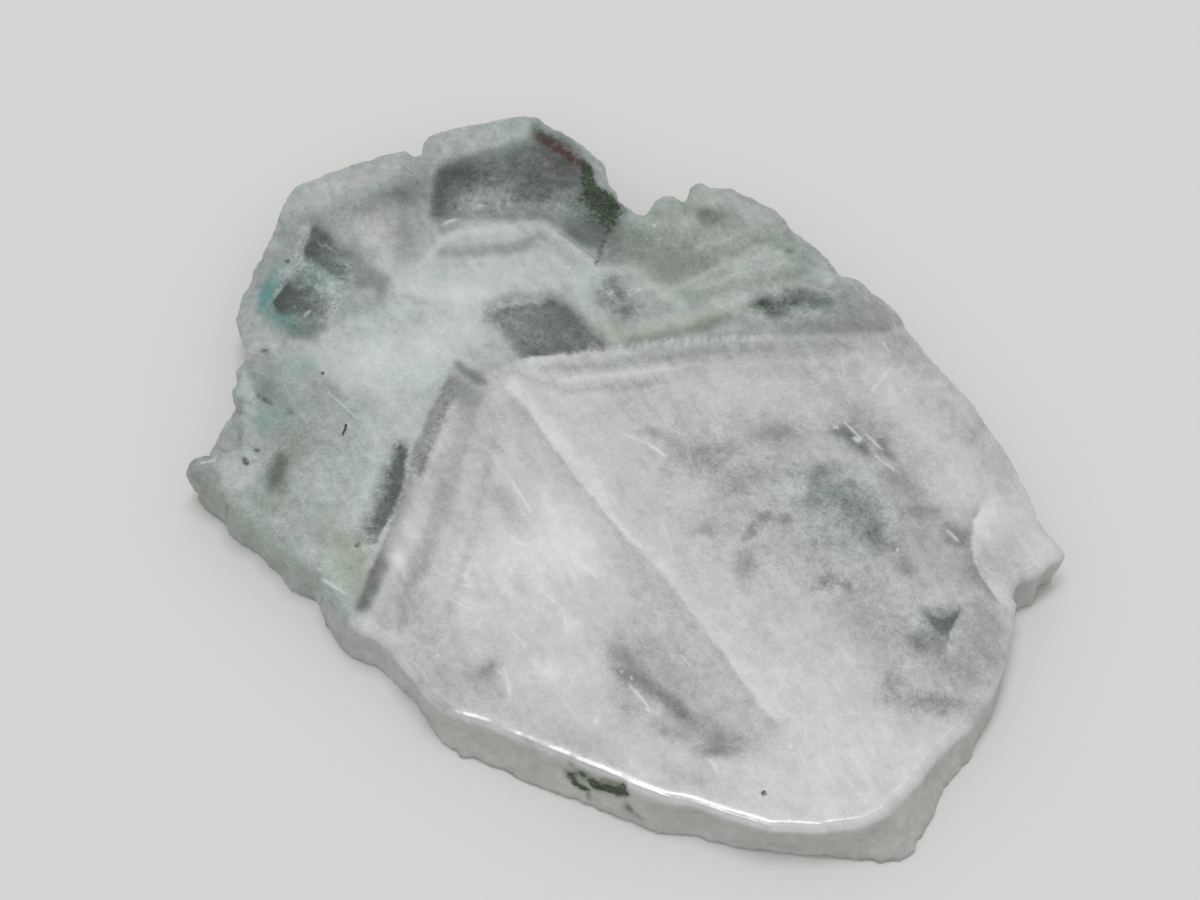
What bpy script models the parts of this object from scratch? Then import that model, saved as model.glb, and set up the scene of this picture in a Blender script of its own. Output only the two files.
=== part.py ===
"""Ajoite quartz slice: one slab sawn across quartz crystals that grew together.

Both sawn faces are flat and level, and the slab lies on the lower one. Its edge keeps what
the crystals grew and what broke: straight prism sides, a deep notch between two crystals,
stepped corners, a blunt nose, a low ledge where a flake came off, and a leaning, lumpy near
side. Lengths in the lists are millimetres. +X is right, +Y is back and +Z is up.
"""

import bmesh
import bpy
from mathutils import Vector, noise
from mathutils.geometry import delaunay_2d_cdt

MM = 0.001

THICKNESS = 5.0          # from one sawn face to the other
RIM_BEVEL = 0.35         # the rubbed bevel around the upper face
FOOT_BEVEL = 0.25        # the broken arris around the lower face
SAMPLE_STEP = 0.62       # spacing of the points around the edge
NORMAL_REACH = 2.4       # how far each way the edge's direction is averaged
EDGE_PROUD = 0.12        # how far the walls' mean surface stands outside the listed corners
LUMP_SIZE = 2.6          # how wide the lumps of a broken wall are
RAGGED_SIZE = 1.1        # how wide the small teeth along an arris are
RAGGED_SHARE = 0.45      # height of the teeth, as a share of the lumps' height
ARRIS_LUMPS = 0.4        # height of the lumps at the two faces, as a share of the middle's
LUMP_GAIN = 1.6          # brings the noise, which seldom passes 0.6, up to about 1
NOISE_SHIFT = Vector((17.0, 5.0, 9.0))  # keeps the teeth's noise apart from the lumps'
CORNER_ROUNDNESS = 0.75  # 0 gives straight runs between the corners, 1 full curves
LEDGE_HEIGHT = 2.2       # top of the ledge left by the flake, above the lower face
LEDGE_BEVEL = 0.3        # the broken arris of the ledge
LEDGE_FILLET = 0.25      # the hollow corner where the ledge meets the riser

# Each corner is (x, y, rim, foot): the widest point of the edge seen from above, then how far
# inside it the arris of the upper face and the arris of the lower face lie.

TIP_TO_SHOULDER = [
    (33.05, -8.55, 0.15, 0.55),
    (31.7, -6.6, 0.0, 0.5),
    (31.1, -5.4, 0.0, 0.4),
    (30.6, -3.6, 0.0, 0.4),
    (29.1, 0.0, 0.0, 0.5),
    (28.0, 2.1, 0.0, 0.6),
    (27.0, 4.1, 0.0, 0.6),
    (25.5, 6.1, 0.0, 0.5),
    (24.0, 8.0, 0.0, 0.4),
    (22.9, 9.8, 0.0, 0.4),
    (22.0, 11.0, 0.0, 0.5),
    (21.6, 12.2, 0.0, 0.6),
    (20.9, 13.1, 0.0, 0.6),
    (19.0, 15.0, 0.0, 0.5),
    (18.4, 15.55, 0.0, 0.5),
    (17.0, 16.0, 0.0, 0.5),
]

SHOULDER_TO_NOTCH = [
    (16.7, 16.7, 0.0, 0.5),
    (15.3, 18.4, 0.0, 0.4),
    (13.6, 20.0, 0.0, 0.4),
    (12.8, 21.3, 0.0, 0.5),
    (12.0, 22.1, 0.0, 0.6),
    (10.2, 23.3, 0.0, 0.6),
    (8.7, 24.05, 0.0, 0.6),
    (7.2, 24.15, 0.0, 0.5),
    (6.3, 24.6, 0.0, 0.5),
    (5.6, 24.1, 0.0, 0.4),
    (5.2, 22.9, 0.0, 0.3),
    (4.85, 22.8, 0.0, 0.3),
    (4.1, 23.35, 0.0, 0.4),
    (2.9, 23.05, 0.0, 0.4),
    (2.1, 21.8, 0.0, 0.2),
    (1.6, 21.55, 0.0, 0.1),
]

BROKEN_BACK = [
    (1.0, 21.85, 0.0, 0.2),
    (-0.2, 22.9, 0.0, 0.3),
    (-0.6, 23.8, 0.0, 0.3),
    (-1.1, 24.3, 0.0, 0.4),
    (-1.4, 26.5, 0.0, 0.4),
    (-2.0, 27.0, 0.0, 0.5),
    (-3.2, 28.2, 0.0, 0.5),
    (-5.0, 29.6, 0.0, 0.5),
    (-6.0, 30.1, 0.0, 0.5),
    (-6.9, 30.85, 0.0, 0.6),
    (-8.0, 31.0, 0.0, 0.6),
]

CRYSTAL_SIDES = [
    (-10.0, 30.75, 0.0, 0.4),
    (-12.6, 30.05, 0.0, 0.3),
    (-15.3, 29.2, 0.0, 0.3),
    (-15.9, 28.4, 0.0, 0.3),
    (-16.1, 27.6, 0.0, 0.2),
    (-16.6, 27.1, 0.0, 0.1),
    (-17.2, 27.55, 0.0, 0.2),
    (-17.8, 27.65, 0.0, 0.3),
    (-20.0, 26.95, 0.0, 0.3),
    (-22.0, 26.15, 0.0, 0.3),
    (-24.5, 25.0, 0.0, 0.3),
    (-26.0, 24.2, 0.0, 0.4),
    (-26.6, 23.2, 0.0, 0.4),
    (-27.6, 20.0, 0.0, 0.3),
    (-28.1, 18.3, 0.0, 0.3),
    (-28.9, 16.4, 0.0, 0.4),
    (-29.1, 15.0, 0.0, 0.4),
    (-29.6, 14.1, 0.0, 0.4),
    (-30.0, 11.9, 0.0, 0.5),
    (-29.5, 10.2, 0.0, 0.4),
    (-29.05, 8.9, 0.0, 0.2),
    (-29.75, 7.1, 0.0, 0.2),
    (-29.6, 6.4, 0.0, 0.1),
]

FLAKE_LEDGE = [
    (-30.05, 5.5, 0.1, 0.1),
    (-30.5, 4.5, 1.7, 0.1),
    (-31.0, 3.5, 1.75, 0.2),
    (-31.45, 2.3, 2.7, 0.2),
    (-31.75, 1.4, 2.6, 0.2),
    (-32.1, 0.4, 1.1, 0.3),
]

NOSE_TO_STEP = [
    (-32.65, -0.45, 0.0, 0.4),
    (-32.95, -1.6, 0.0, 0.3),
    (-32.4, -2.1, 0.1, 0.1),
    (-31.5, -2.85, 0.2, 0.0),
    (-30.5, -3.6, 0.2, 0.0),
    (-30.0, -4.5, 0.2, 0.0),
    (-29.2, -5.35, 0.2, 0.0),
    (-28.1, -6.0, 0.2, 0.0),
    (-27.0, -7.1, 0.2, 0.0),
    (-26.0, -7.9, 0.3, 0.0),
    (-25.0, -9.2, 0.3, 0.0),
    (-24.0, -9.6, 0.3, 0.0),
    (-22.95, -10.3, 0.4, 0.0),
]

LOWER_LEFT = [
    (-22.6, -11.6, 0.4, 0.0),
    (-22.0, -12.8, 0.5, 0.0),
    (-21.3, -13.8, 0.5, 0.0),
    (-20.0, -15.0, 0.5, 0.0),
    (-18.4, -15.6, 0.4, 0.0),
    (-17.2, -16.5, 0.4, 0.0),
    (-16.3, -17.7, 0.2, 0.0),
    (-15.3, -18.5, 0.0, 0.0),
    (-14.5, -20.0, 0.2, 0.0),
    (-13.2, -21.7, 0.7, 0.0),
]

NEAR_SIDE = [
    (-12.0, -22.6, 1.1, 0.0),
    (-10.0, -23.3, 1.1, 0.0),
    (-7.0, -24.8, 1.2, 0.0),
    (-4.0, -26.0, 1.1, 0.0),
    (-1.0, -27.3, 1.1, 0.0),
    (2.3, -28.6, 0.95, 0.0),
    (5.0, -28.9, 0.55, 0.0),
    (7.5, -29.65, 0.45, 0.0),
    (10.5, -30.15, 0.05, 0.0),
    (14.0, -30.5, 0.2, 0.0),
    (17.0, -30.75, 1.0, 0.0),
    (18.4, -30.95, 1.8, 0.0),
    (20.1, -30.7, 2.4, 0.0),
    (20.95, -30.25, 2.5, 0.0),
]

LEANING_SIDE = [
    (21.3, -29.5, 2.4, 0.0),
    (22.6, -27.3, 1.7, 0.0),
    (23.1, -25.9, 1.3, 0.0),
    (24.0, -24.6, 1.0, 0.0),
    (25.0, -23.3, 0.8, 0.0),
    (25.5, -23.0, 0.8, 0.0),
    (26.0, -21.7, 0.5, 0.0),
    (27.1, -19.9, 0.4, 0.0),
    (27.7, -18.5, 0.3, 0.0),
    (28.2, -16.9, 0.2, 0.0),
    (28.7, -14.7, 0.2, 0.0),
    (28.9, -13.4, 0.2, 0.0),
    (29.3, -12.6, 0.3, 0.0),
    (29.15, -12.05, 0.4, 0.0),
    (29.55, -10.95, 0.4, 0.0),
    (30.85, -10.4, 0.3, 0.0),
    (31.75, -9.4, 0.2, 0.3),
]

# Each stretch is (corners, height of the lumps on its wall, whether it has the ledge).
STRETCHES = [
    (TIP_TO_SHOULDER, 0.10, False),
    (SHOULDER_TO_NOTCH, 0.12, False),
    (BROKEN_BACK, 0.12, False),
    (CRYSTAL_SIDES, 0.06, False),
    (FLAKE_LEDGE, 0.04, True),
    (NOSE_TO_STEP, 0.16, False),
    (LOWER_LEFT, 0.16, False),
    (NEAR_SIDE, 0.14, False),
    (LEANING_SIDE, 0.12, False),
]

# Shell-shaped chips on the walls: (x, y, height of the middle, radius, depth).
CHIPS = [
    (-18.8, -15.6, 2.6, 1.7, 0.35),
    (-25.4, -8.9, 2.6, 1.6, 0.30),
    (-9.0, -24.0, 2.4, 1.7, 0.30),
    (5.6, -29.2, 2.3, 1.9, 0.30),
    (18.6, -30.8, 2.7, 1.9, 0.35),
    (23.2, -26.2, 2.2, 1.7, 0.30),
    (29.3, -12.2, 2.0, 1.5, 0.30),
    (21.4, 12.6, 1.6, 1.8, 0.35),
    (-1.2, 25.4, 1.4, 1.8, 0.30),
    (-30.0, 11.8, 1.4, 1.6, 0.25),
    (10.0, 23.5, 1.6, 2.0, 0.30),
]

# Heights of the wall's rows between its two bevels, as shares from the top one down.
WALL_ROWS = [0.0, 0.25, 0.5, 0.75, 1.0]

INSIDE_ONLY = 1          # delaunay_2d_cdt's way to keep only the triangles inside the outline
MERGE_DISTANCE = 1e-7    # metres

MILKY_QUARTZ = (0.62, 0.64, 0.64, 1.0)
QUARTZ_ROUGHNESS = 0.25
QUARTZ_IOR = 1.544
QUARTZ_CLARITY = 0.35    # share of the light that passes straight through


class EdgePoint:
    """One point around the slab's edge, and the shape of the wall below it."""

    def __init__(self, place, rim, foot, lumps, ledge):
        self.place = place        # the widest point, seen from above
        self.rim = rim            # how far inside it the upper face's arris lies
        self.foot = foot          # how far inside it the lower face's arris lies
        self.lumps = lumps        # height of the wall's lumps
        self.ledge = ledge        # 1 where the ledge is, 0 elsewhere
        self.inward = None        # direction into the slab


def blend(a, b, t):
    return a + (b - a) * t


def corners():
    """All the corners of the edge, in order, as edge points."""
    points = []
    for stretch, lumps, has_ledge in STRETCHES:
        for x, y, rim, foot in stretch:
            points.append(EdgePoint(Vector((x, y)), rim, foot, lumps, float(has_ledge)))
    return points


def rounded_run(before, start, end, after, t):
    """A place between two corners, on a run that bends a little towards its neighbours."""
    span = (end - start).length
    leave = (end - before).normalized() * span * CORNER_ROUNDNESS
    arrive = (after - start).normalized() * span * CORNER_ROUNDNESS
    return (
        start * (2 * t ** 3 - 3 * t ** 2 + 1)
        + leave * (t ** 3 - 2 * t ** 2 + t)
        + end * (3 * t ** 2 - 2 * t ** 3)
        + arrive * (t ** 3 - t ** 2)
    )


def edge_points():
    """The slab's edge as evenly spaced points, each with its own wall shape."""
    marks = corners()
    count = len(marks)
    points = []
    for i, start in enumerate(marks):
        before = marks[i - 1]
        end = marks[(i + 1) % count]
        after = marks[(i + 2) % count]
        steps = max(1, round((end.place - start.place).length / SAMPLE_STEP))
        for step in range(steps):
            t = step / steps
            place = rounded_run(before.place, start.place, end.place, after.place, t)
            points.append(EdgePoint(
                place,
                blend(start.rim, end.rim, t),
                blend(start.foot, end.foot, t),
                blend(start.lumps, end.lumps, t),
                blend(start.ledge, end.ledge, t),
            ))
    set_inward_directions(points)
    return points


def set_inward_directions(points):
    """Find the way into the slab at each point, from the run of the edge on both sides."""
    reach = max(1, round(NORMAL_REACH / SAMPLE_STEP))
    count = len(points)
    for i, point in enumerate(points):
        ahead = points[(i + reach) % count].place
        behind = points[i - reach].place
        along = (ahead - behind).normalized()
        point.inward = Vector((-along.y, along.x))


def plain_wall(point):
    """The wall's rows, from the upper face down, as (height, distance inside the edge)."""
    top = THICKNESS - RIM_BEVEL
    bottom = FOOT_BEVEL
    rows = [(THICKNESS, point.rim + RIM_BEVEL)]
    for share in WALL_ROWS:
        rows.append((blend(top, bottom, share), blend(point.rim, point.foot, share)))
    rows.append((0.0, point.foot + FOOT_BEVEL))
    return rows


def ledge_wall(point):
    """The same rows where a flake left a low ledge in front of the upper face."""
    top = THICKNESS - RIM_BEVEL
    return [
        (THICKNESS, point.rim + RIM_BEVEL),
        (top, point.rim),
        (LEDGE_HEIGHT + LEDGE_FILLET, max(point.rim - LEDGE_FILLET, 0.0)),
        (LEDGE_HEIGHT, LEDGE_BEVEL),
        (LEDGE_HEIGHT - LEDGE_BEVEL, 0.0),
        (FOOT_BEVEL, point.foot),
        (0.0, point.foot + FOOT_BEVEL),
    ]


def chip_depth(place, height):
    """How deep the chips cut the wall at this place."""
    depth = 0.0
    for x, y, middle, radius, deepest in CHIPS:
        away = (Vector((place.x, place.y, height)) - Vector((x, y, middle))).length / radius
        if away < 1.0:
            depth = max(depth, deepest * (1.0 - away ** 2))
    return depth


def lump_height(point, height):
    """How far the broken surface stands out or in at this place, less so near both faces."""
    place = Vector((point.place.x, point.place.y, height))
    broad = noise.noise(place / LUMP_SIZE)
    fine = noise.noise(place / RAGGED_SIZE + NOISE_SHIFT)
    from_middle = abs(2 * height / THICKNESS - 1)
    strength = blend(1.0, ARRIS_LUMPS, from_middle)
    return point.lumps * LUMP_GAIN * strength * (broad + RAGGED_SHARE * fine)


def wall_column(point):
    """The wall below one edge point, as places from the upper face's arris to the lower's."""
    column = []
    for plain, ledge in zip(plain_wall(point), ledge_wall(point)):
        height = blend(plain[0], ledge[0], point.ledge)
        inset = blend(plain[1], ledge[1], point.ledge)
        inset += chip_depth(point.place, height) - lump_height(point, height) - EDGE_PROUD
        place = point.place + point.inward * inset
        column.append(Vector((place.x, place.y, height)))
    return column


def centred(columns):
    """Move the slab so that the middle of its outline is over the origin."""
    xs = [place.x for column in columns for place in column]
    ys = [place.y for column in columns for place in column]
    middle = Vector(((min(xs) + max(xs)) / 2, (min(ys) + max(ys)) / 2, 0.0))
    return [[place - middle for place in column] for column in columns]


def add_flat_face(shape, ring, facing_up):
    """Fill a level ring of vertices with triangles."""
    outline = [corner.co.xy for corner in ring]
    filled = delaunay_2d_cdt(outline, [], [range(len(outline))], INSIDE_ONLY, MERGE_DISTANCE)
    triangles = filled[2]
    source_corners = filled[3]
    for triangle in triangles:
        corners_up = [ring[source_corners[i][0]] for i in triangle]
        shape.faces.new(corners_up if facing_up else corners_up[::-1])


def slab_mesh():
    """The closed slab: two flat faces and the wall between them."""
    columns = centred([wall_column(point) for point in edge_points()])
    shape = bmesh.new()
    rings = []
    for row in range(len(columns[0])):
        rings.append([shape.verts.new(column[row] * MM) for column in columns])
    count = len(columns)
    for upper, lower in zip(rings, rings[1:]):
        for i in range(count):
            j = (i + 1) % count
            shape.faces.new((upper[i], lower[i], lower[j], upper[j]))
    add_flat_face(shape, rings[0], facing_up=True)
    add_flat_face(shape, rings[-1], facing_up=False)
    bmesh.ops.triangulate(shape, faces=shape.faces)
    mesh = bpy.data.meshes.new("quartz_slice")
    shape.to_mesh(mesh)
    shape.free()
    return mesh


def quartz_material():
    """Milky quartz, a little see-through."""
    material = bpy.data.materials.new("milky_quartz")
    material.use_nodes = True
    shader = material.node_tree.nodes["Principled BSDF"]
    shader.inputs["Base Color"].default_value = MILKY_QUARTZ
    shader.inputs["Roughness"].default_value = QUARTZ_ROUGHNESS
    shader.inputs["Metallic"].default_value = 0.0
    shader.inputs["IOR"].default_value = QUARTZ_IOR
    shader.inputs["Transmission Weight"].default_value = QUARTZ_CLARITY
    return material


def build():
    for old in list(bpy.data.objects):
        bpy.data.objects.remove(old, do_unlink=True)
    slab = bpy.data.objects.new("quartz_slice", slab_mesh())
    slab.data.materials.append(quartz_material())
    bpy.context.scene.collection.objects.link(slab)


build()
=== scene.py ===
"""Looks of the ajoite quartz slice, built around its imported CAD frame.

The CAD slab is stood for by one closed, finely divided slab with the same faces and walls.
Named shapes in millimetres, seen from above, say where the stone is clear, milky or tinted;
they run down through the slab a little slanted, so its walls and its lower face show them too.
"""

import math

import bmesh
import bpy
import numpy as np
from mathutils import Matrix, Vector, noise
from mathutils.geometry import delaunay_2d_cdt
from mathutils.kdtree import KDTree


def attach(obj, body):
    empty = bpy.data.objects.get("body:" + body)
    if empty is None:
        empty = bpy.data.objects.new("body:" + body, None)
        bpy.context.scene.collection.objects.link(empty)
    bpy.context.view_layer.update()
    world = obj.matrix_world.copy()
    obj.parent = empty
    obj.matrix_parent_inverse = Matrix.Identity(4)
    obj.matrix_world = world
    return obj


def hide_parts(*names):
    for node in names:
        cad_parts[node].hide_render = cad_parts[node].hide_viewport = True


MM = 0.001
NODE = "quartz_slice"
SLOT = "milky_quartz"
WELD_DISTANCE = 1e-6     # metres, for corners that the CAD's triangles share
MERGE_DISTANCE = 1e-7    # metres, for points that fall together in a flat face
INSIDE_ONLY = 1          # delaunay_2d_cdt's way to keep only the triangles inside

# The fine slab's divisions, in millimetres.
FLATNESS = 0.001         # how far from a flat face a point may be and still belong to it
WALL_CUTS = 4            # parts that each edge of the CAD wall is divided into
WALL_ROUNDING = 0.6      # 0 keeps the CAD's flat triangles, 1 rounds them fully
TOP_STEP = 0.235         # spacing of the upper face's points
BASE_STEP = 0.7          # spacing of the lower face's points
GRID_MARGIN = 0.6        # the least gap between the grid and its edge, in steps
RIM_RINGS = (0.09, 0.19, 0.31, 0.45)   # extra rings of points inside the upper rim
RING_SHARE = 0.85        # a ring's point stays if it keeps this share of its distance
RING_GAP = 0.06          # the least gap between two points of a ring
RIM_DROP = 0.075         # how far the rubbed rim falls below the upper face
RIM_REACH = 0.45         # how far in it starts to fall
RIM_CURVE = 2.2          # the power that its fall follows
POLISHED = (0.5, 1.3)    # where the rim's polish starts to fade and ends, in rim reaches
MARK_SPACING = 0.14      # places along a thin mark
MARK_ROWS = (-1.1, -0.5, 0.0, 0.5, 1.1)    # rows beside a thin mark, in its widths

# The wall's wear only ever cuts inward: span and depth in millimetres, and the noise levels at
# which it starts and is full.
CHIPS = (1.5, 0.10, 0.0, 0.45)
GRAIN = (0.42, 0.07, -0.3, 0.5)
TEETH = (0.75, 0.11, -0.1, 0.4)
TEETH_HEIGHTS = (0.2, 2.2)     # the teeth are full below the first and gone above the second
WEAR_RISE = 0.3                # how much of the wall's lean the wear follows
RUBBED_FROM_Y = -4.0           # the near rim, from here on, is rubbed smooth
RUBBED_FADE = 6.0              # how much further it takes to be rubbed fully
RUBBED_DEPTHS = (2.0, 0.4)     # where the rubbing starts and is full, below the upper face
RUBBED_AWAY = 0.9              # the share of the wear that the rubbing takes off

# How the growth pattern runs: its base levels, its waver and its slant through the slab.
MILK_LEVEL = 0.9
BROKEN_LEVEL = 0.3
PINK_LEVEL = 0.15
BROAD_WAVER = (0.17, 1.6)      # shift and span, in millimetres
FINE_WAVER = (0.08, 0.45)
WAVER_STARTS = (Vector((17.3, 5.9, 41.7)), Vector((63.1, 28.4, 9.6)))   # places in the noise
SLANT = (0.22, -0.14)          # sideways shift for each millimetre of depth
SPOT_FALL = 0.7                # how fast a spot fades from its middle
SPOT_REACH = 2.6               # where it has faded out, in its longer half size
WISP_TIP = 0.02                # leaves a little width at a wisp's ends
FADE_END = 0.12                # the share of a fade's length in which each end weakens
FADE_END_COVER = 0.3           # its cover at the ends
FADE_POWER = 1.6               # how fast it fades sideways

# The short teeth along the ragged boundary; sine waves vary their places, heights and lean.
COMB_TEETH = 27
COMB_START = -4.6
COMB_STEP = 0.56
COMB_SPREAD = (0.2, 7.0)       # amount, and radians from one tooth to the next
COMB_HEIGHT = (0.6, 3.1)
COMB_LEAN = (0.15, 2.3)
COMB_LEAST_HEIGHT = 0.35
COMB_TAPER = 0.5               # about how much shorter the last tooth is than the first
COMB_LINE = (9.35, 0.13, -0.004)   # the boundary's y: constant, slope and curve
COMB_SHIFT = 0.2               # from a grey tooth to its white one
GREY_FOOT = 0.4                # how far below the boundary a grey tooth starts, in heights
WHITE_TOP = 0.35               # how far above it a white one ends
GREY_TOOTH = (0.58, 0.5, 0.24, 0.3)    # value, strength, width and softness
WHITE_TOOTH = (0.94, 0.6, 0.28, 0.3)

# The walls' frosted skin, the thin marks and the near wall.
SKIN_COVER = 0.8               # how far the skin hides the pattern
SKIN_DEPTHS = (0.15, 1.0)      # where it starts and is full, below the upper face
SKIN_LEVELS = (("milk", 0.87), ("green", 0.0), ("pink", 0.6), ("lime", 0.34), ("rust", 0.12))
LEFT_SKIN = 0.42               # how much of that skin the left walls have
LEFT_WALLS = (-20.0, -13.0)    # x where they end, and where the rest of the wall begins
FOOT_HEIGHT = 0.01             # the lower face, below this, has none
MILK_MARK_STRENGTH = 0.42
MOSS_MARK_STRENGTH = 0.95
MARK_EDGES = (0.55, 1.05)      # where a mark starts to fade and ends, in its widths
MARK_DEPTH = 1.5               # how far down the rubbed rim marks go, in rim drops
NEAR_WALL_Y = -18.0            # the near wall's own inclusions show in front of this
NEAR_WALL_DEPTH = 0.05         # and below this depth
NEAR_WALL_WAVER = 0.5          # their share of the pattern's waver

# Camera: millimetres and degrees, in the part's frame.
LOOK_AT = (-1.66, 2.86, 0.0)
CAMERA_DISTANCE = 221.0
CAMERA_ELEVATION = 62.0
CAMERA_LENS = 85.0
SENSOR_WIDTH = 36.0
CLIP_RANGE = (0.01, 10.0)      # metres

# The stage, in metres and watts.
FLOOR_HALF = 3.0
FLOOR_DROP = 0.02 * MM         # keeps the floor's face off the slab's
FLOOR_COLOUR = (0.70, 0.70, 0.69, 1.0)
FLOOR_ROUGHNESS = 0.9
KEY_PLACE = (-0.02, 0.02, 0.6)
KEY_SIZE = (0.32, 0.10)
KEY_POWER = 1.25
STUDIO_LIGHT = 0.62


def smooth(low, high, value):
    """0 below low, 1 above high and a smooth rise between them."""
    t = np.clip((value - low) / (high - low), 0.0, 1.0)
    return t * t * (3.0 - 2.0 * t)


# ------------------------------------------------------------------ the slab's shape


def cad_slab():
    """The CAD slab's corners and triangles, in millimetres, with shared corners merged."""
    shape = bmesh.new()
    shape.from_mesh(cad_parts[NODE].data)
    bmesh.ops.remove_doubles(shape, verts=shape.verts, dist=WELD_DISTANCE)
    bmesh.ops.triangulate(shape, faces=shape.faces)
    shape.verts.index_update()
    points = np.array([v.co for v in shape.verts]) / MM
    triangles = np.array([[v.index for v in f.verts] for f in shape.faces])
    shape.free()
    return points, triangles


def wall_of(points, triangles):
    """The triangles that are in neither flat face."""
    heights = points[:, 2][triangles]
    flat = (heights.min(1) > points[:, 2].max() - FLATNESS) | (heights.max(1) < FLATNESS)
    return triangles[~flat]


def on_arris(points):
    """Which of the wall's points lie along its upper or its lower edge."""
    return (points[:, 2] > points[:, 2].max() - FLATNESS) | (points[:, 2] < FLATNESS)


def outward_sums(points, triangles):
    """The sum, at each corner, of its triangles' outward directions."""
    a, b, c = (points[triangles[:, i]] for i in range(3))
    face = np.cross(b - a, c - a)
    total = np.zeros_like(points)
    for i in range(3):
        np.add.at(total, triangles[:, i], face)
    return total


def unit(vectors):
    """The vectors at length 1."""
    return vectors / np.maximum(np.linalg.norm(vectors, axis=1, keepdims=True), 1e-9)


def rounded_point(corners, normals, weights):
    """A point of a triangle, lifted towards its corners' tangent planes."""
    flat = weights @ corners
    lifted = np.zeros(3)
    for corner, normal, weight in zip(corners, normals, weights):
        lifted += weight * (flat - ((flat - corner) @ normal) * normal)
    return flat + (lifted - flat) * WALL_ROUNDING


def fine_wall(points, triangles):
    """The wall with each triangle divided; returns its points and triangles."""
    normals = outward_sums(points, triangles)
    normals[on_arris(points), 2] = 0.0
    normals = unit(normals)
    made = {}
    places = []
    faces = []

    def point_at(triangle, i, j):
        shares = (WALL_CUTS - i - j, i, j)
        key = tuple(sorted((int(v), s) for v, s in zip(triangle, shares) if s))
        if key not in made:
            made[key] = len(places)
            weights = np.array(shares) / WALL_CUTS
            places.append(rounded_point(points[triangle], normals[triangle], weights))
        return made[key]

    for triangle in triangles:
        for i in range(WALL_CUTS):
            for j in range(WALL_CUTS - i):
                right = point_at(triangle, i + 1, j)
                left = point_at(triangle, i, j + 1)
                faces.append((point_at(triangle, i, j), right, left))
                if i + j < WALL_CUTS - 1:
                    faces.append((right, point_at(triangle, i + 1, j + 1), left))
    return np.array(places), np.array(faces)


def wear(points, span, depth, low, high):
    """How deep one kind of wear cuts at each point."""
    levels = np.array([noise.noise(Vector(p) / span) for p in points])
    return depth * smooth(low, high, levels)


def worn(points, faces, low, high):
    """The wall with small chips and grain cut into it, kept inside the CAD's box."""
    depth = wear(points, *CHIPS) + wear(points, *GRAIN)
    span, deepest, *levels = TEETH
    foot = 1.0 - smooth(*TEETH_HEIGHTS, points[:, 2])
    depth += wear(points, span, deepest * foot, *levels)
    thickness = points[:, 2].max()
    start, full = (thickness - below for below in RUBBED_DEPTHS)
    rubbed = smooth(start, full, points[:, 2])
    near_side = smooth(RUBBED_FROM_Y, RUBBED_FROM_Y - RUBBED_FADE, points[:, 1])
    depth *= 1.0 - RUBBED_AWAY * rubbed * near_side
    outward = outward_sums(points, faces)
    outward[:, 2] *= WEAR_RISE
    outward = unit(outward)
    outward[on_arris(points), 2] = 0.0
    return np.clip(points - outward * depth[:, None], low, high)


def open_loops(faces):
    """The two open edges of the wall, each as point numbers in the order that its faces turn."""
    turns = {}
    for a, b, c in faces.tolist():
        for turn in ((a, b), (b, c), (c, a)):
            turns[turn] = True
    following = {start: end for start, end in turns if (end, start) not in turns}
    loops = []
    while following:
        start = next(iter(following))
        loop = [start]
        step = following.pop(start)
        while step != start:
            loop.append(step)
            step = following.pop(step)
        loops.append(loop)
    return loops


def distance_to_outline(places, outline):
    """How far each place is from a closed outline, in millimetres."""
    finer = np.concatenate([outline + (np.roll(outline, -1, 0) - outline) * t
                            for t in (0.0, 0.25, 0.5, 0.75)])
    tree = KDTree(len(finer))
    for i, (x, y) in enumerate(finer):
        tree.insert((x, y, 0.0), i)
    tree.balance()
    return np.array([tree.find((x, y, 0.0))[2] for x, y in places])


def inside_outline(places, outline):
    """Which places lie inside a closed outline."""
    x, y = places[:, 0], places[:, 1]
    inside = np.zeros(len(places), bool)
    for (ax, ay), (bx, by) in zip(outline, np.roll(outline, -1, 0)):
        if ay != by:
            crosses = (ay > y) != (by > y)
            inside ^= crosses & (x < ax + (y - ay) * (bx - ax) / (by - ay))
    return inside


def well_inside(places, outline, margin):
    """The places inside an outline and more than margin away from it."""
    places = places[inside_outline(places, outline)]
    return places[distance_to_outline(places, outline) > margin]


def staggered_grid(outline, step, margin):
    """Evenly spaced places inside an outline, at least margin away from it."""
    low, high = outline.min(0), outline.max(0)
    rows = np.arange(low[1], high[1], step * math.sqrt(0.75))
    places = []
    for number, y in enumerate(rows):
        xs = np.arange(low[0] + (number % 2) * step / 2, high[0], step)
        places.append(np.stack([xs, np.full_like(xs, y)], 1))
    return well_inside(np.concatenate(places), outline, margin)


def rings_inside(outline, distances):
    """Rings of places at set distances inside an outline, thinned where they bunch up."""
    along = np.roll(outline, -1, 0) - np.roll(outline, 1, 0)
    along /= np.linalg.norm(along, axis=1, keepdims=True)
    inward = np.stack([-along[:, 1], along[:, 0]], 1)
    rings = []
    for distance in distances:
        ring = outline + inward * distance
        away = distance_to_outline(ring, outline)
        ring = ring[(away > distance * RING_SHARE) & inside_outline(ring, outline)]
        gap = np.linalg.norm(ring - np.roll(ring, 1, 0), axis=1)
        rings.append(ring[gap > RING_GAP])
    return np.concatenate(rings)


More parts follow.
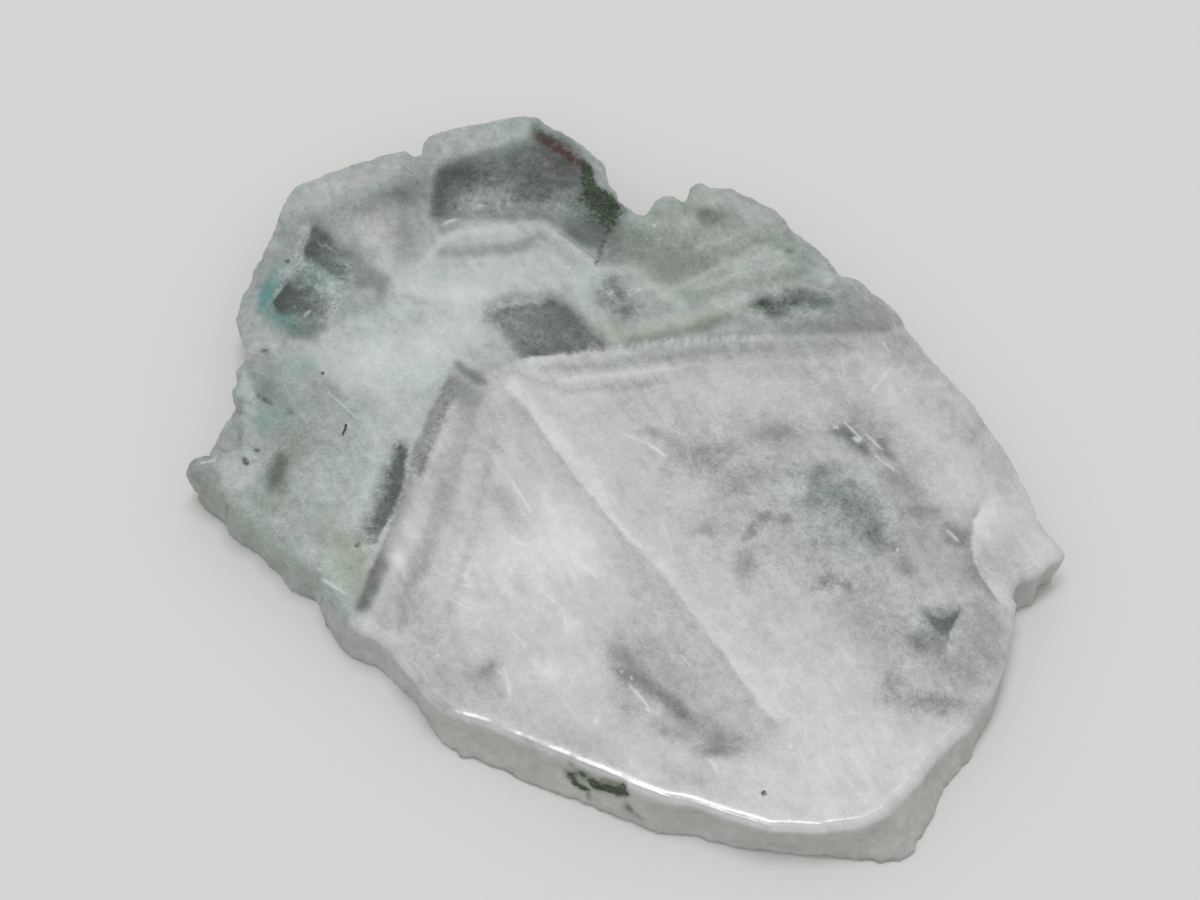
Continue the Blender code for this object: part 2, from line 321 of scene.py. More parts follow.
def mark_rows(outline):
    """Rows of places beside each thin mark, so that its edges stay crisp."""
    rows = []
    for _, width, *corners in (*MILK_MARKS, *MOSS_MARKS):
        for start, end in zip(np.array(corners), np.array(corners)[1:]):
            along = (end - start) / np.linalg.norm(end - start)
            across = np.array([-along[1], along[0]])
            count = max(2, int(np.linalg.norm(end - start) / MARK_SPACING) + 1)
            spine = start + np.linspace(0.0, 1.0, count)[:, None] * (end - start)
            rows += [spine + across * width * share for share in MARK_ROWS]
            rows += [(start - along * width)[None], (end + along * width)[None]]
    return well_inside(np.concatenate(rows), outline, RIM_RINGS[0])


def fill(outline, places):
    """Triangles over a flat outline and the places inside it, turning counter-clockwise."""
    spots = [Vector(p) for p in np.concatenate([outline, places]) * MM]
    border = [list(range(len(outline)))]
    filled = delaunay_2d_cdt(spots, [], border, INSIDE_ONLY, MERGE_DISTANCE)
    sources = filled[3]
    return np.array([[sources[i][0] for i in triangle] for triangle in filled[2]])


def flat_face(points, loop, inner, height):
    """Points and triangles of one sawn face; its outline's points are the wall's own."""
    triangles = fill(points[loop][:, :2], inner)
    numbers = np.array(loop + list(range(len(points), len(points) + len(inner))))
    return np.column_stack([inner, np.full(len(inner), height)]), numbers[triangles]


def slab_shape():
    """The whole slab's points, how polished each one is, and its triangles; closed."""
    cad_points, cad_triangles = cad_slab()
    points, faces = fine_wall(cad_points, wall_of(cad_points, cad_triangles))
    points = worn(points, faces, cad_points.min(0), cad_points.max(0))
    loops = sorted(open_loops(faces), key=lambda loop: points[loop][:, 2].mean())
    lower, upper = loops[0], loops[-1][::-1]
    rim = points[upper][:, :2]
    foot = points[lower][:, :2]
    top_places = np.concatenate([
        rings_inside(rim, RIM_RINGS),
        staggered_grid(rim, TOP_STEP, RIM_RINGS[-1] + TOP_STEP * GRID_MARGIN),
        mark_rows(rim),
    ])
    base_places = staggered_grid(foot, BASE_STEP, BASE_STEP * GRID_MARGIN)
    for loop, places, height, turn in (
            (upper, top_places, cad_points[:, 2].max(), 1), (lower, base_places, 0.0, -1)):
        new, triangles = flat_face(points, loop, places, height)
        points = np.concatenate([points, new])
        faces = np.concatenate([faces, triangles[:, ::turn]])
    return *rubbed_rim(points, rim), faces


def rubbed_rim(points, rim):
    """The points with the upper arris rubbed round, and how polished that leaves each one."""
    thickness = points[:, 2].max()
    inside = inside_outline(points[:, :2], rim)
    inward = np.where(inside, distance_to_outline(points[:, :2], rim), 0.0)
    fall = RIM_DROP * np.clip(1.0 - inward / RIM_REACH, 0.0, 1.0) ** RIM_CURVE
    points[:, 2] = np.minimum(points[:, 2], thickness - fall)
    from_rim = np.hypot(inward, thickness - RIM_DROP - points[:, 2])
    start, end = (RIM_REACH * share for share in POLISHED)
    return points, 1.0 - smooth(start, end, from_rim)


def slab_piece():
    """The dressed slab as a smooth-shaded mesh object."""
    points, polish, faces = slab_shape()
    mesh = bpy.data.meshes.new("quartz_slab")
    mesh.from_pydata((points * MM).tolist(), [], faces.tolist())
    mesh.update()
    mesh.shade_smooth()
    channels = growth_pattern(points)
    channels["polish"] = polish
    for name, values in channels.items():
        mesh.attributes.new(name, "FLOAT", "POINT").data.foreach_set("value", values)
    piece = bpy.data.objects.new("quartz_slab", mesh)
    bpy.context.scene.collection.objects.link(piece)
    return piece


# ------------------------------------------------------------------ shapes to paint


def polyline_distance(x, y, corners):
    """Each place's distance to a run of straight pieces, how far along it and on which side.

    The side is positive on the left of the run's direction.
    """
    corners = np.array(corners, float)
    lengths = np.linalg.norm(np.diff(corners, axis=0), axis=1)
    starts = np.concatenate([[0.0], np.cumsum(lengths)])
    best = np.full(len(x), np.inf)
    along = np.zeros(len(x))
    side = np.zeros(len(x))
    for (ax, ay), (bx, by), length, start in zip(corners, corners[1:], lengths, starts):
        ux, uy = (bx - ax) / length, (by - ay) / length
        t = np.clip((x - ax) * ux + (y - ay) * uy, 0.0, length)
        away = np.hypot(x - ax - t * ux, y - ay - t * uy)
        nearer = away < best
        best = np.where(nearer, away, best)
        along = np.where(nearer, (start + t) / starts[-1], along)
        side = np.where(nearer, ux * (y - ay) - uy * (x - ax), side)
    return best, along, side


def painted(value, strength, places, reach, cover):
    """A shape to paint: its value and strength, the box that it stays in, and its cover.

    The cover is a function that gives, from 0 to 1, how far the shape covers each place.
    """
    places = np.array(places, float)
    return value, strength, places.min(0) - reach, places.max(0) + reach, cover


def area(value, strength, softness, *corners):
    """A patch with these corners; its edge fades over the softness."""
    outline = np.array(corners, float)

    def cover(x, y):
        away = polyline_distance(x, y, (*corners, corners[0]))[0]
        inside = inside_outline(np.stack([x, y], 1), outline)
        return smooth(-softness / 2, softness / 2, np.where(inside, away, -away))

    return painted(value, strength, corners, softness, cover)


def line(value, strength, width, softness, *corners, taper=lambda along: 1.0):
    """A streak along these corners; its edges fade over the softness."""

    def cover(x, y):
        away, along, _ = polyline_distance(x, y, corners)
        half = width / 2 * taper(along)
        return 1.0 - smooth(half - softness / 2, half + softness / 2, away)

    return painted(value, strength, corners, softness + width, cover)


def wisp(*values):
    """A line that narrows to nothing at both ends."""

    def taper(along):
        return np.sqrt(np.clip(4 * along * (1 - along), 0.0, 1.0) + WISP_TIP)

    return line(*values, taper=taper)


def fade(value, strength, left, right, *corners):
    """A boundary along these corners, which fades away over these distances on its two sides."""

    def cover(x, y):
        away, along, side = polyline_distance(x, y, corners)
        ends = smooth(0.0, FADE_END, along) * smooth(1.0, 1.0 - FADE_END, along)
        share = np.clip(away / np.where(side > 0, left, right), 0.0, 1.0)
        return (1.0 - share) ** FADE_POWER * (FADE_END_COVER + (1.0 - FADE_END_COVER) * ends)

    return painted(value, strength, corners, max(left, right), cover)


def spot_cover(x, y, middle, half_length, half_width, angle=0.0):
    """How far a soft oval, turned by an angle in degrees, covers each place."""
    turn = math.radians(angle)
    dx, dy = x - middle[0], y - middle[1]
    u = (dx * math.cos(turn) + dy * math.sin(turn)) / half_length
    v = (dy * math.cos(turn) - dx * math.sin(turn)) / half_width
    return np.exp(-SPOT_FALL * (u * u + v * v))


def spot(value, strength, *oval):
    """A soft oval: its middle, half length, half width and, where it is turned, its angle."""

    def cover(x, y):
        return spot_cover(x, y, *oval)

    return painted(value, strength, oval[:1], SPOT_REACH * max(oval[1:3]), cover)


def paint(values, x, y, shapes):
    """Paint shapes over one channel's values, one after another."""
    for value, strength, low, high, cover in shapes:
        near = np.flatnonzero((x > low[0]) & (x < high[0]) & (y > low[1]) & (y < high[1]))
        amount = cover(x[near], y[near]) * strength
        values[near] += (value - values[near]) * amount


# ------------------------------------------------------------------ what grew in the stone

# One table for each channel, painted from its top to its bottom. Values go from 0, none, to
# about 1, full. Places and sizes are millimetres seen from above, before the pattern's waver
# and slant. After its value and strength, each shape gives:
#   area: softness, corners
#   line, wisp: width, softness, corners
#   fade: how far it fades to its left, to its right, corners
#   spot: middle, half length, half width, angle in degrees

# 0 where the stone is clear, 1 where it is milky, above 1 where it is white.
MILK = (
    # above and left of the ragged boundary, and just below it
    area(0.7, 1, 0.5, (45, 14), (21.5, 11), (15, 10.4), (8, 10.3), (3, 9.9), (0, 9.3), (-4, 9),
        (-7.3, 8.6), (-8.6, 7.7), (-10.5, 6.8), (-12.9, 6.2), (-14.1, 3.5), (-15.5, 0),
        (-16.9, -5), (-18.3, -9.5), (-19.6, -12.8), (-21, -17), (-45, -20), (-45, 45), (45, 45)),
    line(0.78, 0.9, 3.4, 3, (3, 8.6), (9, 8.6), (16, 8.6), (24, 9)),
    line(0.84, 0.8, 3, 2.6, (-8, 6.6), (-3, 7), (4, 7.8)),
    # the darker right side of the left crystal and the wedge below the diagonal boundary
    area(0.8, 0.8, 1.6, (-9.3, 5.9), (-5.5, 1), (-1.5, -4.5), (3, -11), (9, -19), (12, -23.5),
        (6, -25.2), (1.5, -22.5), (-1.2, -19), (-0.6, -14), (-1.6, -9), (-4, -5), (-7.5, -0.5)),
    area(0.62, 0.7, 1.8, (-0.9, -16.2), (2.2, -15.2), (6.2, -16.5), (9.3, -20.5), (11.2, -23.2),
        (8.4, -24.6), (5, -24.2), (0.6, -19.4)),
    # the pale lower right corner and other broad pale parts
    spot(0.98, 0.8, (16.5, -24.5), 9.5, 5.5, 25),
    spot(0.92, 0.6, (7.5, -13), 5, 2, -55),
    spot(0.92, 0.7, (-6, -9.5), 5.5, 3.5, -35),
    spot(0.86, 0.6, (-6.5, -18.5), 6.5, 2.8, -20),
    spot(0.9, 0.6, (22.5, 2), 6.5, 2.6, -60),
    # the brighter middle of the left part
    spot(0.98, 0.85, (-17.8, 8.6), 4.5, 3.3, 10),
    spot(0.9, 0.7, (-13.5, 11), 3.4, 5),
    spot(0.9, 0.6, (-19.5, 3.2), 3.6, 2.4, -20),
    spot(0.86, 0.6, (-21, 19), 3, 1.6, 20),
    spot(0.8, 0.6, (-22.5, 23.5), 4.5, 1.5, 22),
    # the wide grey window of the upper crystal
    area(0.45, 0.9, 0.9, (-15.2, 21), (-14.8, 25.6), (-12.6, 27), (-10, 27.8), (-8.9, 28.4),
        (-7.2, 29), (-5.6, 28.2), (-2.6, 26), (-1.9, 24.3), (-1.4, 22.6), (-1, 20), (-1.6, 18),
        (-3.4, 19), (-5.8, 20.8), (-10, 21), (-13.2, 20.9)),
    area(0.28, 0.9, 1, (-14.7, 22.2), (-14.3, 25.2), (-13.4, 26), (-11.6, 26.2), (-9.6, 25.4),
        (-8.7, 26.6), (-7.6, 27.5), (-6.4, 27.6), (-4.6, 26.3), (-3.1, 25.4), (-3, 23.8),
        (-4.8, 23.4), (-6.4, 22.6), (-8.4, 22.6), (-9.6, 23.9), (-11.4, 24.3), (-12.6, 23.9),
        (-13.7, 22)),
    fade(0.1, 0.9, 2.8, 0.9, (-13.9, 26.3), (-14.3, 25), (-14.7, 22.8), (-14.6, 20.9)),
    fade(0.12, 0.6, 2.2, 1, (-6.4, 28.2), (-8.2, 27.4), (-9.4, 26.5), (-10.8, 26.2), (-12.4, 26.3),
        (-14, 25.9)),
    spot(0.02, 0.8, (-13.1, 25.2), 0.8, 0.5, -10),
    spot(0.05, 0.8, (-7.2, 25.6), 1.3, 1, -20),
    spot(0.03, 0.8, (-4.4, 25.6), 1.5, 0.9, -25),
    wisp(0.06, 0.8, 0.8, 0.7, (-8, 24.2), (-6, 24.4), (-3.4, 24.2)),
    spot(0.16, 0.7, (-6.8, 23.2), 1.3, 0.6, 10),
    spot(0.22, 0.6, (-8.3, 27), 0.8, 0.6, 40),
    spot(0.55, 0.7, (-10.7, 23), 1.9, 1.2),
    area(0.3, 0.8, 1.2, (-4.3, 20.5), (-2, 21.6), (-1.1, 20.2), (-1.5, 18.8), (-2.6, 18.4),
        (-4.2, 19.6)),
    # the pale outer margin of the upper crystal
    line(0.66, 0.9, 0.8, 0.4, (-1.4, 26.7), (-1.55, 25.4), (-1.3, 24.2), (-0.5, 23.2),
        (0.5, 22.2)),
    line(0.62, 0.9, 1, 0.5, (-6.9, 30.6), (-5.2, 29.2), (-3.4, 27.7), (-1.9, 26.5)),
    line(0.72, 0.7, 1.6, 1.4, (-15.2, 28.6), (-12, 29.3), (-9, 29.9), (-7.4, 30.2)),
    # the phantom: a pale hexagonal band, a grey band inside it and pale stone below
    area(0.79, 0.9, 0.8, (-15.8, 16.6), (-14.6, 19.6), (-10.2, 20.5), (-6.4, 20.8), (-4.9, 20),
        (-2.3, 17.5), (-2, 16.5), (-3, 14.9), (-5, 14.6), (-9.8, 14.1), (-11.2, 12.4), (-12.6, 11),
        (-15.8, 13.5)),
    line(0.56, 0.8, 0.9, 0.9, (-14.1, 17.9), (-12.4, 17.9), (-10.2, 18.1), (-8.6, 18.3),
        (-6.9, 18.9), (-6.2, 19.5)),
    wisp(0.56, 0.6, 0.7, 0.6, (-10.6, 18), (-9, 18.15), (-7.4, 18.5)),
    line(0.7, 0.7, 0.9, 1.2, (-6.4, 19), (-4.3, 17.6), (-2.9, 16.2)),
    line(0.9, 0.8, 0.6, 0.7, (-15.2, 17.2), (-14.3, 19), (-12.6, 19.7), (-10.4, 19.9),
        (-8.6, 20.1)),
    line(0.88, 0.7, 0.7, 0.7, (-5.9, 20), (-4.6, 19), (-2.6, 17.3)),
    wisp(0.85, 0.7, 0.4, 0.4, (-14.2, 20.4), (-13.4, 20.8), (-12.7, 21)),
    spot(0.88, 0.7, (-7.2, 16.6), 2.6, 1.1),
    spot(0.86, 0.7, (-3.6, 14.8), 1.8, 0.9, -35),
    # the dark trapezoid window under the phantom
    area(0.55, 0.9, 1, (-10.9, 11.6), (-10.7, 13.4), (-9.4, 13.9), (-5.2, 14.3), (-4.1, 14),
        (-0.8, 9.6), (-0.6, 8.9), (-4, 8.8), (-6, 8.6), (-7.8, 8.3), (-9.2, 10)),
    area(0.2, 0.95, 0.5, (-10.4, 12.2), (-9.6, 12.6), (-8.2, 12.9), (-6.2, 13.1), (-5.5, 13.6),
        (-4.9, 13), (-3.3, 11.5), (-2.4, 10.4), (-1.2, 9.4), (-1.4, 8.95), (-4.2, 8.7), (-5.6, 9),
        (-7.6, 8.4), (-8.4, 9.4), (-9.3, 10.9)),
    spot(0.36, 0.8, (-7.4, 10.6), 1.6, 0.9, -30),
    spot(0.3, 0.7, (-3.4, 9.9), 1.5, 0.6, -10),
    wisp(0.12, 0.7, 1.2, 1, (-5.6, 13.3), (-4.9, 12.7), (-3.8, 11.6), (-2.8, 10.6)),
    fade(0.08, 0.8, 0.2, 0.9, (-1, 8.9), (-4.2, 8.7), (-7.6, 8.4)),
    fade(0.46, 0.8, 0.3, 1, (-7.9, 8.4), (-9.2, 10.4), (-10.9, 12.6)),
    # the pale band down the trapezoid's right side and on to the right
    area(0.62, 0.8, 1.4, (-2.4, 14.4), (-1.2, 12.4), (0.2, 11.2), (3.6, 12.3), (8, 14), (5, 14.8),
        (2.6, 15.8), (-0.6, 16)),
    line(0.76, 0.8, 1, 1.2, (-4.6, 14.6), (-3, 13), (-1.6, 11.3), (-0.4, 10.2), (0.8, 10.6),
        (4, 11.6), (7, 12.6), (9.8, 13.7)),
    line(0.5, 0.7, 0.8, 1, (0.6, 9.6), (2.8, 10.1), (5.5, 10.9), (9.2, 12.2)),
    wisp(0.42, 0.8, 0.7, 0.8, (5.2, 10.9), (6.8, 11.3), (8.6, 12.3)),
    # the small grey window inside a pale loop
    line(0.8, 0.8, 1, 1, (-1.6, 16.2), (-0.6, 16.5), (0.9, 16.3), (2, 15.5), (3.4, 14.3),
        (4.6, 13.2)),
    area(0.5, 0.8, 0.8, (-2, 14.3), (-1.2, 15.2), (-0.2, 15.3), (0.8, 14.2), (1.8, 12.9),
        (0.9, 11.9), (0.2, 11.5), (-0.9, 12.6), (-1.8, 13.2)),
    wisp(0.32, 0.8, 1.1, 1.1, (-1.1, 15.2), (-0.3, 14.2), (0.2, 13.2), (0.4, 12.2)),
    spot(0.35, 0.6, (-1.3, 13.5), 0.6, 0.5),
    spot(0.82, 0.8, (1.6, 14.9), 0.9, 0.7, -30),
    # the upper right
    area(0.6, 0.9, 1.6, (-1, 21.2), (1.6, 21.4), (5, 22.6), (9, 23.8), (13.4, 20), (16.6, 16.2),
        (10.5, 14.6), (7, 13.9), (3.4, 15), (1.4, 16.6), (-1.5, 17)),
    area(0.42, 0.8, 1.6, (0.6, 19.6), (2.2, 19.8), (3, 18.6), (5.2, 18.4), (6.8, 17.6),
        (7.6, 16.4), (5.4, 15.2), (3.6, 15.4), (2.2, 16.8), (-1.4, 17.2), (-1, 18.8)),
    line(0.74, 0.7, 0.9, 1, (0.4, 21), (2.6, 20.6), (4.9, 20.5), (6.2, 20.9)),
    area(0.38, 0.8, 0.9, (6, 21.2), (6.4, 21.9), (7.4, 21.9), (8.2, 21.4), (8, 20.7), (7, 20.2),
        (6.3, 20.4)),
    spot(0.16, 0.8, (6.7, 21.5), 0.5, 0.35),
    spot(0.48, 0.7, (5.7, 19.2), 1.2, 0.6),
    area(0.74, 0.7, 1.2, (4.8, 22.4), (6.2, 24.2), (9, 23.6), (11.6, 22), (13, 20), (10.4, 20.4),
        (8.8, 22), (6.6, 22.4)),
    area(0.74, 0.7, 1.4, (8.6, 16.6), (10.4, 18.6), (12.2, 18.4), (13.2, 17.2), (11.4, 15.6),
        (9.2, 15.4)),
    spot(0.36, 0.8, (-0.7, 19.8), 1, 0.9),
    line(0.8, 0.5, 0.5, 0.6, (2.4, 13.4), (4.6, 14.7), (6.9, 16), (9.2, 17), (12.6, 17.9)),
    line(0.5, 0.5, 0.5, 0.6, (2.6, 15.6), (4.2, 15.5), (6.8, 16.9), (9.6, 18.3)),
    line(0.76, 0.5, 0.4, 0.6, (6.2, 18.4), (8.2, 18.9), (10, 20.2)),
    line(0.78, 0.5, 0.4, 0.6, (6, 14.6), (9.2, 15.8), (12.8, 16.8), (15.4, 16.4)),
    # the shaded stone below the upper right, with its dark green smears
    area(0.66, 0.9, 1.2, (9, 12.4), (12.8, 14.2), (17, 15.4), (19.6, 14.2), (21.6, 12),
        (20.8, 10.9), (15, 10.5), (10, 10.6)),
    wisp(0.6, 0.7, 1, 1, (14, 10.9), (17.5, 11.1), (20.6, 10.9)),
    wisp(0.8, 0.7, 0.9, 0.9, (14.5, 15.6), (17, 15.6), (19, 14.8)),
    wisp(0.3, 0.9, 1.7, 1.3, (9.8, 12.8), (11.2, 13.1), (12.1, 12.6), (13.2, 13.3), (14.6, 13.7),
        (16.2, 13.3)),
    spot(0.62, 0.8, (13.8, 12.4), 0.7, 0.3, 30),
    # the two left windows and their blue rim
    area(0.62, 0.8, 2, (-27.2, 21.5), (-24, 21.8), (-19.4, 18.2), (-17.6, 15), (-18.6, 12.8),
        (-22.6, 11.4), (-25.6, 10.2), (-28, 11.8), (-28.6, 15)),
    area(0.42, 0.85, 1, (-24.6, 20.3), (-23.2, 19.8), (-21.4, 18.3), (-19.6, 16.7), (-18.1, 15.6),
        (-18.5, 14.2), (-20.6, 14.7), (-22.6, 15.2), (-24.4, 16.6)),
    area(0.12, 0.9, 0.7, (-24.6, 20), (-23.5, 19.4), (-22.4, 18.3), (-21, 17.4), (-20.4, 16.4),
        (-21.6, 15.9), (-22.8, 15.9), (-24, 16.9), (-24.9, 17.4), (-24.7, 18.6)),
    fade(0.02, 0.9, 1.4, 0.15, (-24.3, 20.4), (-24.7, 18.9), (-25, 17.3)),
    spot(0, 0.9, (-24.4, 18), 0.5, 0.5),
    spot(0.02, 0.7, (-23.7, 19.1), 0.6, 0.4, -30),
    spot(0.34, 0.8, (-22.4, 17), 0.7, 0.6),
    spot(0.44, 0.8, (-21.2, 16.8), 1.4, 0.7, -38),
    wisp(0.45, 0.7, 1.2, 0.9, (-25.7, 16.3), (-24.8, 15.5), (-23.7, 15.2)),
    area(0.24, 0.95, 0.7, (-27.3, 13.2), (-26.2, 15.2), (-25.2, 14.5), (-24.2, 15.1), (-23.1, 14),
        (-22.9, 12.9), (-23.8, 11.6), (-25.2, 12.3), (-26.7, 12)),
    fade(-0.1, 0.95, 2.3, 0.2, (-26.2, 15.1), (-27.2, 13.3), (-26.6, 12.1)),
    spot(0.05, 0.8, (-24.9, 13.1), 0.6, 0.9, 30),
    spot(0.42, 0.8, (-23.8, 13.4), 0.9, 1.1),
    area(0.38, 0.8, 1, (-25.4, 12), (-23.6, 12.3), (-23, 11), (-24, 9.9), (-25.8, 10.2),
        (-26.4, 11.4)),
    wisp(0.72, 0.8, 0.55, 0.4, (-24, 14.9), (-23.5, 14.2), (-23.2, 13.6)),
    wisp(0.6, 0.8, 0.4, 0.3, (-24.75, 11.9), (-24.5, 12.25), (-24.1, 12.5)),
    spot(0.5, 0.7, (-17.6, 23.2), 1.6, 0.9, 5),
    spot(0.52, 0.6, (-17.4, 18.8), 0.9, 2.2, 5),
    wisp(0.6, 0.6, 0.8, 0.7, (-17.1, 13.9), (-16.2, 13.5), (-14.6, 13.2)),
    spot(0.66, 0.5, (-17, 11.4), 2.4, 1, 20),
    spot(0.62, 0.6, (-26, 9.4), 0.8, 0.6, -60),
    # the wedge at the left tip
    area(0.62, 0.8, 2.2, (-30, 8), (-27, 8.6), (-25.2, 8.8), (-23.8, 6.6), (-21.6, 4), (-19.4, 1),
        (-18.9, -5.6), (-20.6, -13), (-34, -14), (-35, 0)),
    spot(0.42, 0.8, (-27.1, 5.1), 1.5, 0.8, -35),
    area(0.4, 0.8, 0.9, (-26.9, -0.8), (-26, 0.3), (-25.2, 0.2), (-25.2, -2.8), (-25.6, -3.9),
        (-26.5, -3.6), (-26.9, -2.4)),
    wisp(0.16, 0.8, 0.9, 0.9, (-26.5, -3.2), (-26.2, -2.3), (-25.9, -1), (-26, -0.2)),
    spot(0.44, 0.7, (-24.8, 1), 0.9, 1.1, 30),
    spot(0.54, 0.6, (-26.1, -5), 0.8, 1.6, 20),
    spot(0.5, 0.6, (-22.2, 5.5), 0.5, 1, 30),
    area(0.74, 0.8, 0.6, (-29.6, 5.2), (-28.6, 4.2), (-28, 4), (-28.4, 6.2), (-29.2, 7.6)),
    wisp(0.76, 0.7, 0.5, 0.4, (-29.3, 4.2), (-28.4, 3.6), (-27.9, 3.2)),
    spot(0.74, 0.7, (-28.3, 1.4), 0.5, 1.1, 20),
    area(0.8, 0.7, 0.9, (-30.3, 0.2), (-28.6, 0.4), (-27.4, -0.4), (-27.6, -2.4), (-29.4, -3.4),
        (-30.6, -2.2)),
    area(0.55, 0.8, 0.7, (-32.8, -1.2), (-31.4, -0.9), (-30.5, -1.9), (-30.6, -3.4), (-31.8, -3.4),
        (-32.9, -2.4)),
    # yellow-green stone beside the foot of the dark stripe
    spot(0.66, 0.7, (-20, -8.6), 1.3, 1.6, 20),
    line(0.7, 0.7, 0.9, 1.2, (-19.9, 0.8), (-20.3, -3.5), (-20.9, -6.4)),
    line(0.72, 0.6, 1, 1.2, (-26, -5.4), (-23.6, -7.6), (-20.8, -11.4)),
    wisp(0.9, 0.7, 0.35, 0.4, (-22.4, -10.6), (-21.4, -11.3), (-20.3, -11.9)),
    wisp(0.5, 0.7, 1.5, 1.4, (-21.8, -14), (-19.9, -15.6), (-18, -17)),
    # the dark green-black stripe and the pale stone left of it
    line(0.78, 0.8, 1, 1, (-17.9, 2), (-19, -3), (-19.7, -6)),
    area(0.5, 0.8, 0.9, (-17.4, 0.8), (-16.6, 1.2), (-16.4, -1.8), (-17, -5.4), (-18.1, -7.6),
        (-19.8, -7.9), (-19.4, -5), (-18.4, -2)),
    area(0.22, 1, 1, (-16.9, 0.7), (-16.3, 0.4), (-16.5, -1.8), (-17.1, -5), (-17.9, -6.6),
        (-18.9, -7.2), (-18.7, -5.2), (-17.8, -2.4)),
    fade(-0.05, 0.9, 0.15, 1.1, (-16.2, 0.6), (-16.5, -0.8), (-16.5, -2.6), (-17.1, -5),
        (-18, -6.8)),
    line(0.8, 0.8, 0.45, 0.4, (-16.1, -0.6), (-16.5, -3), (-17.2, -5.6), (-18.2, -8), (-19, -9.6)),
    # the grey-purple stripe from the dark cleft down to the near left
    wisp(0.42, 0.9, 0.8, 0.8, (-12.8, 7.9), (-12, 7.1), (-11.2, 6.5), (-10.4, 6.2)),
    fade(0.5, 0.9, 4, 0.4, (-13, 7.2), (-14.4, 3.8), (-15.6, 0.6), (-16.1, -2.4)),
    wisp(0.46, 0.8, 1.4, 1.3, (-12.9, 5.4), (-13.9, 2.6), (-14.8, 0), (-15.3, -1.8)),
    spot(0.2, 0.7, (-15.1, -1.4), 0.3, 0.5, -20),
    fade(0.56, 0.9, 1.6, 0.2, (-15.6, -0.4), (-16.5, -3.4), (-17.6, -7.2), (-18.8, -10.9)),
    fade(0.26, 0.9, 1.3, 0.3, (-18, -8.8), (-18.9, -11), (-19.7, -13.4)),
    spot(0.18, 0.8, (-19.2, -12.6), 0.4, 0.35),
    spot(0.22, 0.8, (-18.5, -11.3), 0.35, 0.7, -25),
    # the pale stripe, then fainter purplish ones
    line(0.88, 0.8, 0.7, 0.8, (-12.6, 4.2), (-14.1, 0), (-15.3, -4), (-16.7, -9.6)),
    spot(1.1, 0.8, (-16.7, -9.1), 0.5, 0.8, -15),
    line(0.73, 0.8, 1.5, 1, (-11.6, 4), (-12.6, 0), (-13.6, -4.6), (-15.2, -10.2), (-16.2, -14.4)),
    line(0.9, 0.7, 0.6, 0.7, (-10.6, 4.6), (-11.4, 0), (-12, -5), (-13.6, -10.6)),
    line(0.78, 0.7, 0.9, 0.9, (-9.8, 1), (-10.6, -4.6), (-11.9, -10.6), (-12.9, -13.6)),
    line(0.88, 0.7, 0.8, 0.9, (-14.8, -11), (-15.8, -15), (-16.4, -17)),
    spot(0.7, 0.6, (-17.4, -13.6), 0.7, 1.8, -15),
    # the bright right flank of the diagonal boundary, and faint lines beside it
    line(0.8, 0.8, 2.6, 2.4, (-8.2, 3.6), (-6.4, 1), (-4.8, -1.2), (-2.6, -4.6), (-0.8, -7.2),
        (2, -11), (5.4, -15.5), (8, -19), (10, -22)),
    area(0.96, 0.9, 0.3, (-9.3, 6.2), (-7.3, 3.8), (-5.5, 1), (-4, -1), (-1.5, -4.5), (0.2, -7.2),
        (3, -11), (6.5, -15.5), (9, -19), (11, -22), (12.4, -22), (10.2, -18.6), (7.6, -15),
        (4.2, -10.4), (1.2, -6.4), (-0.6, -3.8), (-3, -0.4), (-4.4, 1.6), (-6.4, 4.4),
        (-8.4, 6.6)),
    fade(0.76, 0.8, 0.12, 2.6, (-9.3, 6.2), (-7.3, 3.8), (-5.5, 1), (-3.7, -1.7), (-1.2, -5.2),
        (1.6, -8.5), (4.6, -12.4), (7, -16), (9.1, -19.3), (11.2, -22.6)),
    fade(1.02, 0.8, 1.1, 0.12, (-7.3, 3.8), (-5.5, 1), (-3.7, -1.7), (-1.2, -5.2), (1.6, -8.5),
        (4.6, -12.4), (7, -16), (9.1, -19.3), (11.2, -22.6)),
    wisp(1.12, 0.9, 0.35, 0.3, (-0.9, -5.4), (0.4, -6.9), (1.4, -8.1)),
    wisp(1.08, 0.8, 0.6, 0.4, (9.2, -19), (10.2, -20.6), (11, -21.8)),
    wisp(0.74, 0.7, 0.6, 0.6, (-8.4, 4.4), (-6.6, 1.9), (-5, -0.8)),
    wisp(0.74, 0.7, 0.6, 0.6, (-0.7, -6.4), (0.6, -8), (2.2, -10.6)),
    wisp(0.98, 0.7, 0.3, 0.3, (-10.2, 0.3), (-8.4, -2.4), (-7, -4.7)),
    spot(0.6, 0.6, (-8.6, -4.4), 0.8, 1.7, 35),
    # the dark streaks of the wedge
    spot(0.44, 0.8, (0.4, -17.3), 1.6, 0.9, -55),
    wisp(0.3, 0.8, 1.3, 1, (-0.6, -18), (1.4, -18.8), (3.2, -20.3), (5.4, -22.6)),
    wisp(0.12, 0.8, 0.6, 0.5, (2.4, -19.8), (3.5, -20.6), (4.7, -21.7)),
    spot(0.42, 0.8, (7, -23.2), 1.7, 0.8, -25),
    spot(0.3, 0.8, (6.5, -24.3), 0.9, 0.35, -5),
    spot(0.5, 0.7, (3.2, -22.6), 1.2, 0.6, -25),
    spot(0.75, 0.3, (4.2, -20.6), 6, 3.6, -50),
    wisp(0.96, 0.8, 0.25, 0.2, (0.4, -19), (1.2, -20.1), (1.9, -21)),
    spot(0.9, 0.8, (1.9, -21.4), 0.8, 0.4, 30),
    # white feathers in the lower left
    wisp(1.02, 0.8, 0.5, 0.4, (-11.2, -9.2), (-11.5, -10.4), (-11, -11.6)),
